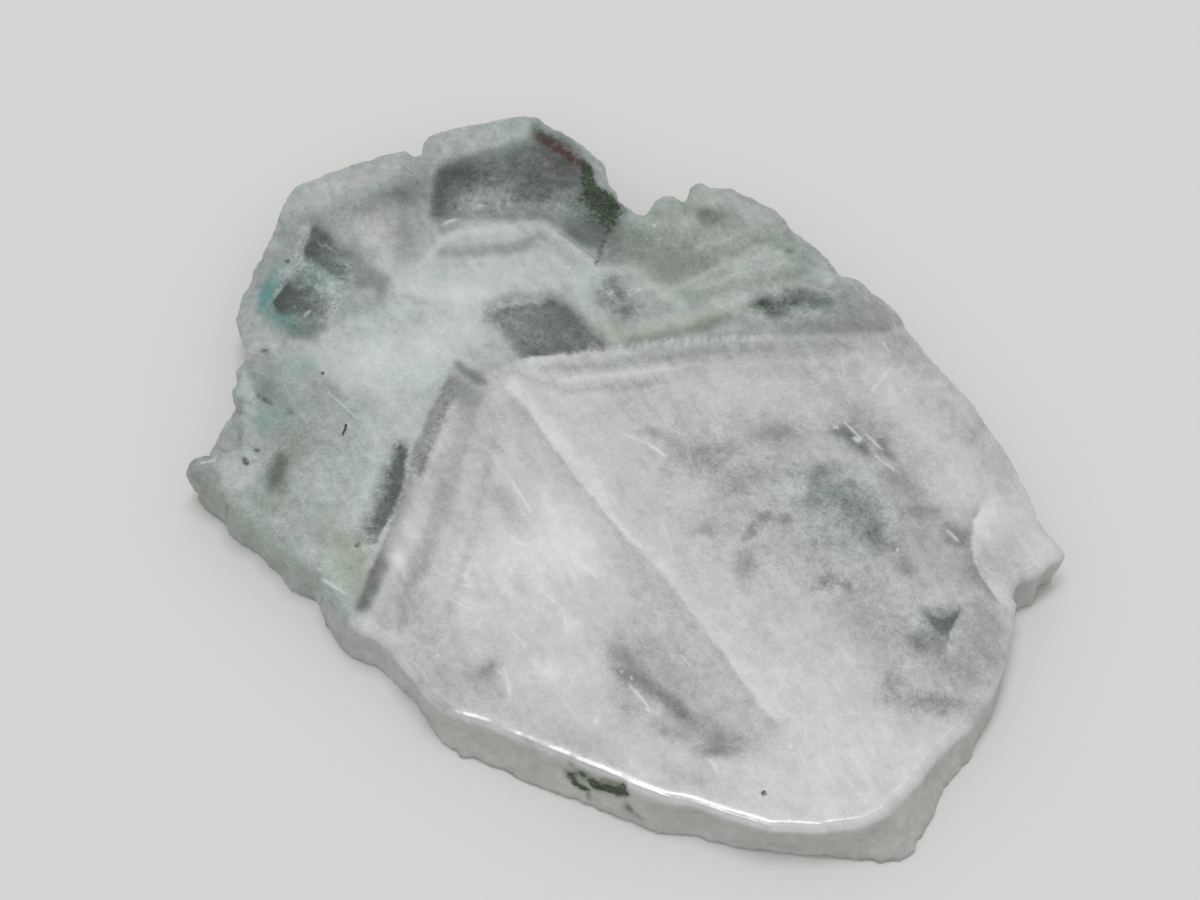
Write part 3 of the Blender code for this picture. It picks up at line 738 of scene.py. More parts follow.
    wisp(1.02, 0.8, 0.3, 0.3, (-11.9, -11.2), (-11, -11.5), (-10, -11)),
    wisp(1.02, 0.8, 0.25, 0.3, (-10.9, -9.2), (-10.5, -10.2), (-10.3, -11)),
    wisp(1, 0.8, 0.35, 0.3, (-8.8, -8.2), (-9, -9.2), (-9.6, -10)),
    wisp(1, 0.8, 0.3, 0.3, (-7.8, -8.8), (-8.1, -9.6), (-8.6, -10.4)),
    wisp(1.02, 0.8, 0.4, 0.4, (-8.4, -7), (-7.6, -7.6), (-6.6, -7.8)),
    wisp(1.05, 0.8, 0.6, 0.4, (-3.9, -8.2), (-3.1, -9.4), (-2, -10.2)),
    wisp(1.02, 0.8, 0.3, 0.3, (-3.2, -9.8), (-2.2, -9.9), (-1.6, -10.8)),
    wisp(1, 0.8, 0.35, 0.3, (-6.2, -11.4), (-5.3, -12.4), (-4.6, -12.9)),
    wisp(0.98, 0.8, 0.6, 0.5, (-4.6, -12.9), (-4, -13.8), (-4.1, -15)),
    wisp(0.98, 0.8, 0.3, 0.3, (-8, -15), (-7.3, -15.8), (-7, -16.6)),
    wisp(0.94, 0.7, 0.6, 0.6, (-6.8, -17), (-5.4, -18.2), (-4.4, -18.4)),
    wisp(0.98, 0.8, 0.4, 0.5, (-12.4, -11.9), (-11.4, -12.6), (-10, -12.9)),
    wisp(0.96, 0.8, 0.4, 0.4, (-14.6, -15.9), (-13.7, -16.8), (-13.2, -17.4)),
    spot(0.52, 0.7, (-9.8, -18), 0.9, 0.6, 40),
    wisp(1, 0.8, 0.35, 0.3, (-9.2, -17.9), (-8.6, -18.3), (-8.3, -19.2), (-8.2, -20.2)),
    spot(1.02, 0.8, (-1.9, -21.8), 0.25, 0.7, 5),
    wisp(0.98, 0.8, 0.6, 0.5, (0.4, -25.2), (1.4, -26), (3, -26.4)),
    wisp(0.98, 0.8, 0.3, 0.25, (6.3, -25), (6.8, -25.7), (7.2, -26.2)),
    wisp(0.95, 0.8, 0.3, 0.25, (10.6, -25.6), (10.2, -26)),
    wisp(0.9, 0.6, 0.5, 0.5, (4.6, -24.8), (5, -25.8), (4.6, -26.6)),
    # pale streaks along the ragged boundary
    wisp(1, 0.8, 0.5, 0.5, (-5, 6.3), (-2.6, 6.5), (0, 6.9), (3, 7.3), (6, 7.8)),
    line(0.94, 0.7, 0.6, 0.8, (7, 7.7), (11, 7.8), (15, 7.9), (18.5, 8.3)),
    line(0.94, 0.8, 0.5, 0.5, (-7, 8), (-3.4, 8.5), (0.4, 8.8)),
    line(0.66, 0.7, 0.6, 0.8, (-6, 7.3), (-2, 7.6), (3, 8.3), (8, 8.9)),
    wisp(0.68, 0.6, 0.7, 0.9, (-8.6, 7), (-4, 5.4), (0.5, 5.8), (5, 6.6)),
    wisp(0.68, 0.6, 0.7, 0.9, (9, 8.9), (13, 9.3), (18, 9.4)),
    # the mottled grey cloud
    spot(0.64, 0.8, (14, -4.6), 8.5, 6, -25),
    spot(0.7, 0.6, (7.5, -1), 4.5, 2.6, -20),
    area(0.42, 0.8, 1.8, (13.6, -1.2), (16.2, -0.8), (18, -2.8), (19.6, -5), (20.2, -7.6),
        (18.8, -8.4), (16.8, -6.8), (15, -5.2), (13.4, -4.8), (13, -3)),
    wisp(0.16, 0.85, 1.1, 0.8, (14.9, -1.4), (14.6, -2.8), (14.7, -4.4)),
    spot(0.2, 0.85, (16.2, -3.8), 1.4, 0.7, -20),
    spot(0.22, 0.85, (14.2, -4.2), 1, 0.45),
    wisp(0.24, 0.8, 1.7, 1.1, (16.8, -3.9), (17.6, -5), (18.2, -6.2), (18.9, -7.8)),
    spot(0.06, 0.8, (18.6, -6.9), 0.5, 0.7, -20),
    spot(0.3, 0.7, (18, -5.6), 0.7, 0.8),
    wisp(0.46, 0.8, 0.8, 0.7, (17.2, -7), (18.8, -8.2), (20.6, -8.1)),
    spot(0.34, 0.8, (6.7, 0.1), 1.8, 0.8, 5),
    spot(0.42, 0.7, (6.4, -0.8), 1.1, 0.8),
    spot(0.42, 0.8, (8.6, -2.7), 1.5, 0.7, 25),
    spot(0.42, 0.8, (12.2, 1.6), 1.3, 0.9),
    spot(0.5, 0.7, (13, -1.8), 1.4, 0.7),
    spot(0.26, 0.8, (10.8, -5.4), 0.7, 0.4, -15),
    spot(0.3, 0.8, (12.5, -5.6), 0.6, 0.35),
    wisp(0.4, 0.8, 0.9, 0.8, (10.4, -5.4), (9.9, -6.4), (9.2, -7.4)),
    spot(0.46, 0.8, (9.2, -9.4), 0.6, 1.1),
    spot(0.5, 0.7, (6.2, -6.6), 0.9, 0.5),
    spot(0.5, 0.7, (14.6, -7.4), 0.9, 0.9, 30),
    spot(0.5, 0.7, (16.4, -7.7), 1.2, 0.6, -20),
    spot(0.38, 0.8, (15.2, -10.6), 0.8, 0.45, 20),
    spot(0.42, 0.8, (16.7, -11.1), 0.8, 0.4, -40),
    spot(0.46, 0.8, (14.6, -11.3), 0.5, 0.3, 20),
    spot(0.46, 0.8, (20.9, -9.7), 0.6, 0.9, 30),
    spot(0.52, 0.7, (22.4, -5), 1.2, 0.6),
    spot(0.5, 0.7, (21, -2.6), 1.4, 0.7, -35),
    spot(0.88, 0.7, (4.6, -3.6), 3, 1),
    spot(0.88, 0.7, (22.7, -8.9), 0.7, 0.4, 40),
    spot(0.82, 0.7, (14.5, 0.2), 1.5, 0.8),
    # a milky veil over the whole cloud
    spot(0.72, 0.28, (14, -5), 10, 8, -25),
    # the streak with a white glint, and the one near the tip
    wisp(0.4, 0.9, 1.1, 1, (16.1, 2), (17.2, 1.9), (18, 0.9), (18.8, -0.2)),
    wisp(0.36, 0.8, 0.9, 0.8, (19.5, 1), (20.2, 0), (21, -0.8)),
    wisp(0.82, 0.7, 0.5, 0.5, (17, 2.7), (18.2, 1.4), (19.6, 0), (20.9, -1.4)),
    spot(0.92, 0.8, (17.95, 1.1), 0.3, 0.2, -40),
    area(0.54, 0.8, 0.9, (23.9, -6.2), (24.9, -5.9), (26, -6.6), (25.8, -8), (24.9, -8.2),
        (24, -7.4)),
    wisp(0.82, 0.7, 0.35, 0.4, (24.1, -6.5), (25, -7.3), (25.9, -7.9)),
    wisp(0.4, 0.7, 0.3, 0.4, (24.8, -6.8), (25.4, -7.2), (26, -7.8)),
    wisp(0.96, 0.7, 0.45, 0.5, (18.8, 4.6), (19.9, 6.2), (20.7, 7.4)),
    wisp(0.98, 0.8, 0.35, 0.3, (0.2, 1.5), (1.8, 0.8), (3.3, -0.2)),
    wisp(0.6, 0.7, 0.8, 0.8, (1.6, 2), (3, 1.6), (4.2, 0.6)),
    # the pale stone of the tip and the grey triangle below it
    area(0.94, 0.9, 0.9, (27.6, -4), (26.6, -5.3), (26.1, -6.3), (26.1, -8.3), (26.7, -10),
        (27.4, -12), (28.4, -13.4), (36, -14), (36, -4), (30, -3)),
    area(0.88, 0.8, 2.2, (20.5, 7), (27.2, 3.4), (30.6, -4), (27, -4.4), (23.6, -4.2),
        (20.4, -0.4), (18.8, 3.4)),
    area(0.7, 0.7, 1.8, (21.4, -12.8), (25.2, -12.9), (26.6, -12.6), (28.2, -13.8), (27.8, -17.6),
        (26.2, -19.4), (22.8, -18.6), (20.6, -16.8), (19.8, -14.8)),
    area(0.5, 0.8, 1, (22, -12.9), (25.1, -13), (24.2, -15.2), (23.4, -16.8), (21.8, -16.8),
        (20.8, -15.4), (21.8, -14.6)),
    area(0.16, 0.9, 0.5, (22.2, -13.3), (23.4, -13.9), (25, -13.2), (24.5, -14.6), (24, -15.2),
        (22.9, -14.7)),
    spot(0.48, 0.8, (22.3, -16), 0.9, 0.4),
    wisp(0.74, 0.7, 0.4, 0.4, (25.5, -12.3), (25, -13.7), (24.5, -15), (24, -16.4)),
    spot(0.9, 0.8, (24.3, -16.3), 0.35, 0.3),
    spot(0.66, 0.7, (19.7, -18.8), 0.7, 1),
    spot(0.62, 0.8, (22.2, -20.5), 2.1, 0.7, -3),
    wisp(0.96, 0.8, 0.4, 0.3, (15.3, -18.8), (15.8, -19.8), (16.2, -20.4)),
    fade(0.66, 0.8, 0.12, 1.5, (27.2, -4.2), (26.5, -5.6), (26.05, -7.4), (26.2, -9.2),
        (26.9, -10.8), (28.2, -12.9)),
    fade(1.06, 0.9, 2.2, 0.12, (27.2, -4.2), (26.5, -5.6), (26.05, -7.4), (26.2, -9.2),
        (26.9, -10.8), (28.2, -12.9)),
)

# How far clouds and flecks break the pattern up.
BROKEN = (
    area(0.1, 0.9, 2, (-16, 21), (-4, 20), (1, 15.5), (4, 20), (7, 24), (14, 19), (21, 12),
        (10, 10.5), (0, 9), (-4, 14.5), (-12, 12), (-20, 14)),
    area(0.85, 0.9, 1, (-15, 21.5), (-14.4, 26), (-9, 26.5), (-6, 28), (-2, 25), (-1.4, 21),
        (-6, 22), (-10, 21.4)),
    area(0.7, 0.9, 1, (-10.9, 13), (-5, 14), (-0.8, 9), (-7.8, 8.2)),
    area(1.2, 0.9, 1, (-27.6, 14), (-25, 20.5), (-20.6, 16.6), (-22.6, 11.6), (-26, 11)),
    spot(0.45, 0.9, (7, 18.4), 6.5, 3, -15),
    spot(0.45, 0.8, (-24.5, -2), 4.5, 4.5),
    spot(0.45, 1, (14, -5), 8, 5, -25),
    spot(0.75, 1, (16.8, -4.8), 3.4, 2.4, -40),
    spot(0.6, 0.9, (7, -0.8), 3.2, 1.8, -10),
    spot(0.6, 0.9, (10.8, -6.4), 2.4, 2.2),
    spot(1, 0.9, (15.6, -10.8), 1.8, 1),
    spot(0.8, 0.9, (22.8, -15), 2.6, 2.4),
    spot(0.7, 0.9, (22, -20.5), 3, 1.4),
    spot(0.4, 0.9, (3.4, -20.6), 4.2, 2, -50),
    spot(1.3, 0.9, (-0.3, 13.6), 1.6, 1.2, -50),
    spot(1.4, 0.9, (13, 13.2), 3.6, 1.1, 5),
    area(0.15, 0.9, 1.4, (-12.6, 8), (-10, 6), (-12.6, -4), (-16, -14), (-20, -14), (-17, -4),
        (-15, 4)),
    # the dark stripe
    line(1.2, 0.9, 1.6, 0.8, (-16.8, 0.2), (-17.2, -2.4), (-18, -5.4), (-18.8, -7.4)),
    # the grey-purple stripe
    line(0.8, 0.9, 1.4, 0.8, (-12.9, 5.4), (-13.9, 2.6), (-14.8, 0), (-15.3, -1.8)),
)

# A faint green cast.
GREEN = (
    # the back, down to the ragged boundary
    area(0.5, 1, 3, (45, 17), (21.5, 13.4), (14, 12.5), (8, 11), (0, 9.8), (-7.3, 8.6),
        (-8.6, 7.7), (-11, 6.8), (-15.5, 0), (-18.3, -9.5), (-21, -17), (-45, -20), (-45, 45),
        (45, 45)),
    # pinkish patches among the green
    spot(0.15, 0.7, (-18.8, 20.4), 2.4, 1.7),
    spot(0.1, 0.7, (-19, 25.8), 5, 1.1, 22),
    spot(0.15, 0.7, (-12, 9.5), 3.4, 2),
    spot(0.2, 0.7, (-27.6, 6.8), 1.2, 1.8),
    # the upper crystal's window
    spot(0.9, 0.7, (-8.8, 27.9), 1.2, 0.8, 45),
    spot(1, 0.8, (-13.2, 25.3), 1.1, 0.7),
    spot(0.1, 0.8, (-5.8, 25), 2.8, 1.6, -15),
    area(1, 0.8, 1.4, (-4.6, 22.4), (-2.6, 22.6), (-1.2, 20.6), (-1.4, 18.6), (-2.4, 18.6),
        (-4.6, 20)),
    # the phantom
    line(0.2, 0.6, 0.9, 0.7, (-5.9, 20), (-4.6, 19), (-2.6, 17.3)),
    # the trapezoid window
    spot(0.9, 0.7, (-5.5, 13.1), 0.7, 0.6),
    # the pale band beside it
    line(0.3, 0.7, 1.6, 1.4, (-1.6, 11.3), (0.4, 10.2), (4, 11.3), (9.5, 12.9)),
    # the upper right
    area(0.15, 0.8, 1.4, (4.8, 22.4), (6.2, 24.8), (9.5, 24.2), (13, 21.6), (13, 20), (10.4, 20.4),
        (8.8, 22), (6.6, 22.6)),
    spot(0.9, 0.7, (11, 19.1), 0.9, 0.5),
    spot(0.9, 0.6, (13, 17.9), 1.4, 0.8, -20),
    spot(1, 0.6, (9.4, 18.8), 0.9, 0.5, -30),
    spot(0.9, 0.6, (1.2, 18.9), 1, 0.8),
    # the shaded stone below it
    area(0.25, 0.7, 1.6, (12, 15.2), (18, 15.8), (22, 12), (21, 10.5), (13, 10.8), (10.5, 12.4)),
    wisp(1, 0.9, 1.8, 1.2, (10, 12.9), (11.2, 13.2), (12.2, 12.8), (14.4, 13.6), (16.4, 13.3)),
    # the left windows
    spot(0.95, 0.6, (-24, 15.2), 2.6, 2, -30),
    # the left wedge
    area(0.7, 0.7, 2.2, (-30, 8), (-26, 8.6), (-23.8, 6.6), (-21.6, 3), (-19.4, 0.6),
        (-18.9, -5.6), (-20.6, -13), (-34, -14), (-35, 0)),
    spot(1, 0.7, (-27, 4.8), 1.7, 1, -30),
    spot(0.9, 0.6, (-28.6, -5.6), 0.9, 0.6, -30),
    # the grey-purple stripe
    spot(0.9, 0.8, (-18.5, -11.2), 0.5, 1, -25),
    line(0.1, 0.9, 1.4, 0.8, (-13.1, 6), (-15, 0), (-17.1, -7.2), (-18.2, -10.4)),
    # along the ragged boundary
    line(0.45, 0.8, 1.8, 1.8, (-1, 9), (8, 9.9), (16, 10.6)),
    # the mottled cloud
    spot(0.25, 0.7, (16, -4.5), 5, 3.6, -40),
    spot(0.95, 0.8, (16.2, -3.6), 1.6, 1.1, -30),
    spot(1, 0.8, (18.6, -7), 1.2, 1, -30),
    # the streak with a glint
    wisp(0.8, 0.8, 1, 0.6, (16.2, 2), (17.3, 1.8), (18.4, 0.6)),
    # the tip and the grey triangle
    spot(0.7, 0.8, (23.2, -14.2), 1.5, 0.9),
)

# A faint pink cast.
PINK = (
    # the back, down to the ragged boundary
    area(0, 1, 2.4, (45, 16), (21.5, 12.6), (8, 10.8), (0, 9.6), (-7.3, 8.6), (-8.6, 7.7),
        (-11, 6.8), (-15.5, 0), (-18.3, -9.5), (-21, -17), (-45, -20), (-45, 45), (45, 45)),
    # pinkish patches among the green
    spot(0.5, 0.8, (-18.8, 20.4), 2.2, 1.5),
    spot(0.5, 0.8, (-20, 25.6), 4, 0.9, 22),
    spot(0.6, 0.8, (-8, 16.4), 2.6, 1.2),
    spot(0.5, 0.7, (-12, 9.5), 3, 1.6),
    spot(0.5, 0.7, (-28.6, -1.4), 1.6, 1.6),
    # the upper crystal's window
    spot(0.7, 0.8, (-5.6, 25), 3, 1.9, -15),
    spot(0.5, 0.8, (-10.6, 25.2), 1.9, 0.9),
    # the upper right
    spot(0.5, 0.7, (4.3, 17.3), 1.1, 1),
    spot(0.4, 0.7, (1.6, 18.2), 1.2, 0.6),
    # the shaded stone below it
    area(0.45, 0.8, 1.6, (12, 15.2), (18, 15.8), (22, 12), (21, 10.5), (13, 10.8), (10.5, 12.4)),
    # the left windows
    spot(0.35, 0.8, (-17.4, 23.3), 1.2, 0.7),
    spot(0.25, 0.8, (-26.8, 9.8), 1.6, 1),
    # the left wedge
    spot(0.25, 0.7, (-29, -1.6), 1.6, 1),
    # the grey-purple stripe
    line(0.65, 0.9, 1.4, 0.8, (-13.1, 6), (-15, 0), (-17.1, -7.2), (-18.2, -10.4)),
    # the pale stripe and its neighbours
    line(0.75, 0.8, 1.7, 1.2, (-11.6, 4), (-12.6, 0), (-13.6, -4.6), (-15.2, -10.2),
        (-16.2, -14.4)),
    # the dark streaks of the wedge
    spot(0.7, 0.7, (7.4, -22.6), 1.6, 1.1, -30),
    # along the ragged boundary
    area(0.55, 0.7, 2.5, (2, 9), (12, 9.8), (21.5, 10.4), (27, 4), (30, -3), (28, -4), (24, 3),
        (19, 6.6), (8, 6.2), (0, 4.6)),
    # the tip and the grey triangle
    spot(0.6, 0.7, (22.2, -20.4), 2.4, 0.9),
)

# Dark green inclusions.
MOSS = (
    # the upper crystal's dark streak
    wisp(0.55, 0.9, 0.8, 0.5, (-7.1, 30.1), (-6.6, 29.2), (-6, 28.3)),
    wisp(0.3, 0.9, 1.8, 1.4, (-7.1, 30.1), (-6.2, 29), (-4.6, 27.6), (-3, 26)),
    wisp(0.06, 1, 0.8, 0.8, (-6.4, 28.8), (-5.6, 28.1), (-4.6, 27.2), (-3.7, 26.4)),
    wisp(0.42, 0.8, 0.5, 0.6, (-6.9, 28.7), (-6.1, 27.8), (-5.1, 26.9), (-4.1, 26)),
    wisp(0.5, 0.8, 0.4, 0.4, (-7, 29.9), (-6.2, 29), (-5.2, 28.2)),
    wisp(0.8, 1, 0.7, 0.5, (-3.3, 26.5), (-2.9, 25.9), (-2.7, 25), (-2.8, 24)),
    wisp(0.4, 0.8, 0.6, 0.6, (-7.5, 27.6), (-6.3, 27.5), (-5.2, 26.7), (-4, 26.2)),
    area(0.55, 0.9, 2.2, (-3.4, 24.4), (-1.9, 24.2), (0.2, 22.2), (0, 20.8), (-0.9, 19.6),
        (-2.2, 20.2), (-3.4, 21.6), (-4.2, 22.6)),
    area(0.8, 1, 1.3, (-2.9, 24.4), (-2.3, 24.2), (-1.7, 23.7), (-0.9, 23.1), (-0.2, 22.4),
        (0.25, 21.9), (0, 21.4), (-0.35, 20.9), (-0.7, 20.2), (-1.1, 20.1), (-1.9, 21.3),
        (-2.3, 22.1), (-2.9, 22.6), (-3.1, 23.3)),
    wisp(1.1, 1, 0.8, 0.7, (-3, 26.3), (-2.7, 25.4), (-2.6, 24.4), (-2.3, 23.7)),
    wisp(1.4, 1, 1.3, 0.8, (-2.5, 23.9), (-1.8, 23.1), (-1.1, 22.2), (-0.8, 20.9)),
    wisp(0.6, 0.8, 0.35, 0.35, (-0.8, 20.6), (-1.3, 19.4), (-1.6, 18.2), (-2, 16.6)),
    # the trapezoid window
    spot(0.35, 0.8, (-5.4, 13.2), 0.6, 0.5, -20),
    # the small window
    spot(0.45, 0.8, (0.2, 12.4), 0.5, 0.35, -50),
    # the upper right
    spot(0.28, 0.8, (10.9, 19), 0.5, 0.3),
    spot(0.5, 0.8, (13.3, 18.1), 0.35, 0.2, -20),
    # the shaded stone below it
    spot(0.75, 0.95, (11.15, 13.15), 0.65, 0.4, 10),
    spot(0.7, 0.95, (12, 12.5), 0.5, 0.35, -10),
    wisp(0.42, 0.9, 0.9, 0.8, (11.8, 12.4), (12.7, 13.1), (13.8, 13.4), (14.8, 13.6)),
    spot(0.3, 0.9, (15.4, 13.2), 0.8, 0.45),
    # the left windows
    spot(0.26, 0.9, (-25.6, 13.5), 1.8, 1.4),
    spot(0.22, 0.9, (-23.6, 17.6), 1.9, 1.2, -40),
    spot(0.5, 0.9, (-26.3, 17.1), 0.2, 0.13),
    spot(0.4, 0.9, (-28.4, 12.4), 0.2, 0.16),
    spot(0.4, 0.8, (-25.4, 11), 0.25, 0.15, -40),
    # the left wedge
    wisp(0.6, 0.9, 0.4, 0.3, (-28.1, 5.1), (-27.4, 4.6), (-26.7, 4.2)),
    spot(0.4, 0.9, (-25.3, 3.4), 0.3, 0.25),
    spot(0.8, 0.9, (-27.65, 8.8), 0.25, 0.17, -20),
    spot(0.75, 0.9, (-27.7, 0.2), 0.17, 0.15),
    wisp(0.75, 0.9, 0.35, 0.2, (-28.8, -0.4), (-28.6, -0.8), (-28.3, -1)),
    spot(0.25, 0.9, (-27.9, -0.7), 0.3, 0.12),
    spot(0.26, 0.9, (-26.1, -1.6), 0.5, 1.4, -12),
    spot(0.4, 0.8, (-31.6, -2.9), 0.25, 0.15),
    spot(0.4, 0.8, (-29.7, -4.6), 0.25, 0.2),
    # beside the dark stripe's foot
    wisp(0.65, 0.9, 0.3, 0.2, (-20, -8), (-19.7, -7.7)),
    # the dark stripe
    wisp(0.34, 0.9, 1.3, 0.9, (-16.6, 0.3), (-16.9, -2), (-17.6, -4.6), (-18.2, -6.2)),
)

# Ajoite.
TEAL = (
    # the left windows
    spot(0.22, 0.9, (-24.2, 15.4), 2, 1.6, -30),
    line(0.6, 0.95, 1, 0.9, (-26.8, 16.4), (-27.3, 15.4), (-27.85, 14.2), (-28, 13.1),
        (-27.3, 12.1), (-26.4, 11.8), (-25.4, 11.3)),
    wisp(1, 1, 0.95, 0.5, (-27, 15.9), (-27.6, 14.8), (-27.95, 13.8), (-27.9, 12.8)),
    wisp(1, 0.9, 0.8, 0.5, (-27, 11.9), (-26.2, 11.8), (-25.3, 11.3)),
    spot(0.35, 0.8, (-25.6, 11.4), 1.4, 0.8, -20),
    spot(0.25, 0.9, (-26.6, 16), 0.9, 0.8),
    # the left wedge
    spot(0.42, 0.9, (-26.9, 3), 1.1, 0.9, 10),
    spot(0.3, 0.9, (-24.8, 7.6), 1, 0.9),
)

# Iron.
RUST = (
    # the upper crystal's dark streak
    wisp(0.55, 0.9, 2, 1.7, (-6.9, 29.4), (-5.6, 28.3), (-4.5, 27.3), (-2.8, 25.8)),
    wisp(1.2, 1, 1.2, 1, (-6.8, 29.1), (-5.6, 28.1), (-4.6, 27.2), (-3.3, 26.1)),
    wisp(0.3, 0.8, 0.9, 0.8, (-7, 27.9), (-5.6, 27), (-4.4, 26)),
    # the dark stripe
    spot(0.25, 0.8, (-17.3, -3.4), 0.25, 0.6, 10),
)

# Yellowish green.
LIME = (
    # the upper right and the left tip
    area(0.2, 1, 3, (-1, 16.5), (0.5, 22), (6, 25), (14, 20), (15, 15), (8, 13), (2, 12)),
    area(0.16, 1, 4, (-33, -3), (-27, 7), (-22, 4), (-19, -2), (-20, -14), (-28, -10)),
    # the upper crystal's dark streak
    wisp(0.45, 0.8, 0.9, 0.5, (-7.2, 30.3), (-6.7, 29.3), (-6.1, 28.4)),
    # the phantom
    wisp(0.25, 0.8, 0.7, 0.6, (-11, 18), (-9, 18.15), (-7.4, 18.5)),
    # the pale band beside it
    line(0.48, 0.9, 1.5, 1.4, (-1.6, 11.2), (0.2, 10.1), (3, 10.9), (6.5, 11.9), (9, 12.7)),
    # the left wedge
    spot(0.42, 0.8, (-31.3, -3.3), 1, 0.7, -30),
    spot(0.3, 0.8, (-29.9, -4.4), 0.8, 0.6, -30),
    # beside the dark stripe's foot
    area(0.62, 0.9, 1.8, (-22.2, -6.4), (-20.4, -6.9), (-19.2, -7.6), (-18.4, -8.6), (-19, -11),
        (-19.8, -12.2), (-21, -10.2), (-21.8, -8.4)),
    wisp(0.22, 0.8, 1.5, 1.4, (-21.6, -14.2), (-19.9, -15.6), (-18, -17)),
)

# Broad lighter and darker parts: added milk, middle, half length, half width, angle.
TONES = (
    (0.14, (-18.5, 16.4), 2.6, 1.3, -30),
    (0.14, (-12.5, 13.8), 3.4, 1.4, -5),
    (0.11, (-8.2, 11.4), 1.8, 1.3),
    (-0.16, (-16.5, 23.5), 1.6, 2.6, 10),
    (-0.16, (-12, 24.6), 2.4, 1.2),
    (-0.14, (-21, 22), 4, 1, 20),
    (-0.1, (-25.4, 13.6), 2.2, 2.6),
    (-0.14, (-12, 5.4), 1.4, 1.2),
    (-0.13, (-19.8, 4.2), 1.6, 1.4),
    (-0.14, (-15, -13.5), 4, 1.8, -60),
    (-0.15, (-12, -19.2), 3.6, 1.8, -30),
    (-0.13, (-3.6, -24), 3.4, 1.3, -20),
    (-0.12, (4.5, -26.4), 2.4, 0.8, -10),
    (-0.12, (0.8, -21.4), 1, 0.9),
    (0.12, (-3.8, -5.4), 1.8, 2.6, 30),
    (0.1, (-5.5, -8.4), 3.6, 1.8),
    (0.1, (-5.2, -17.8), 1.4, 1.2),
    (0.1, (6.6, 0), 1.8, 1),
    (0.14, (13.6, -3.2), 1.6, 1.3),
    (0.1, (18.2, -6.6), 1.6, 1.2, 40),
    (-0.2, (19.6, 1), 3.4, 1.6, -45),
    (-0.14, (22, -6.6), 1.8, 3),
    (-0.17, (18.6, -14.4), 2.2, 3.2, 20),
    (-0.11, (24, -18.4), 2.6, 2.4),
    (-0.11, (27, -13.6), 1.8, 3.6, -10),
    (-0.12, (16.4, 13.4), 3.2, 1.4, -10),
    (-0.1, (10, 9), 11, 1.4, 3),
    (-0.1, (0.5, 4.8), 2, 1.8),
    (-0.12, (-1.6, 19.6), 2.4, 1.6),
    (0.1, (-21.5, -4), 2.2, 3),
    (0.09, (6, 15.6), 1.8, 1.2),
    (-0.13, (-10.7, 2.2), 1.5, 3.4),
    (-0.11, (-13, -5.4), 1.5, 3),
    (-0.11, (25.4, -9.8), 1.6, 2.2),
    (-0.12, (28.4, -9.6), 2.2, 2.4),
    (-0.12, (23, -20.6), 3.2, 1.8),
    (-0.08, (18.2, -20.8), 2.6, 1.4),
    (-0.08, (17, 5.4), 2.6, 1.8),
    (-0.12, (24.4, 5.4), 4.6, 1.3, -52),
    (-0.11, (28.2, -0.6), 3.4, 1.2, -62),
    (-0.09, (17, 10.6), 4, 0.8),
    (-0.08, (-0.6, -20.2), 1.6, 1.2),
)

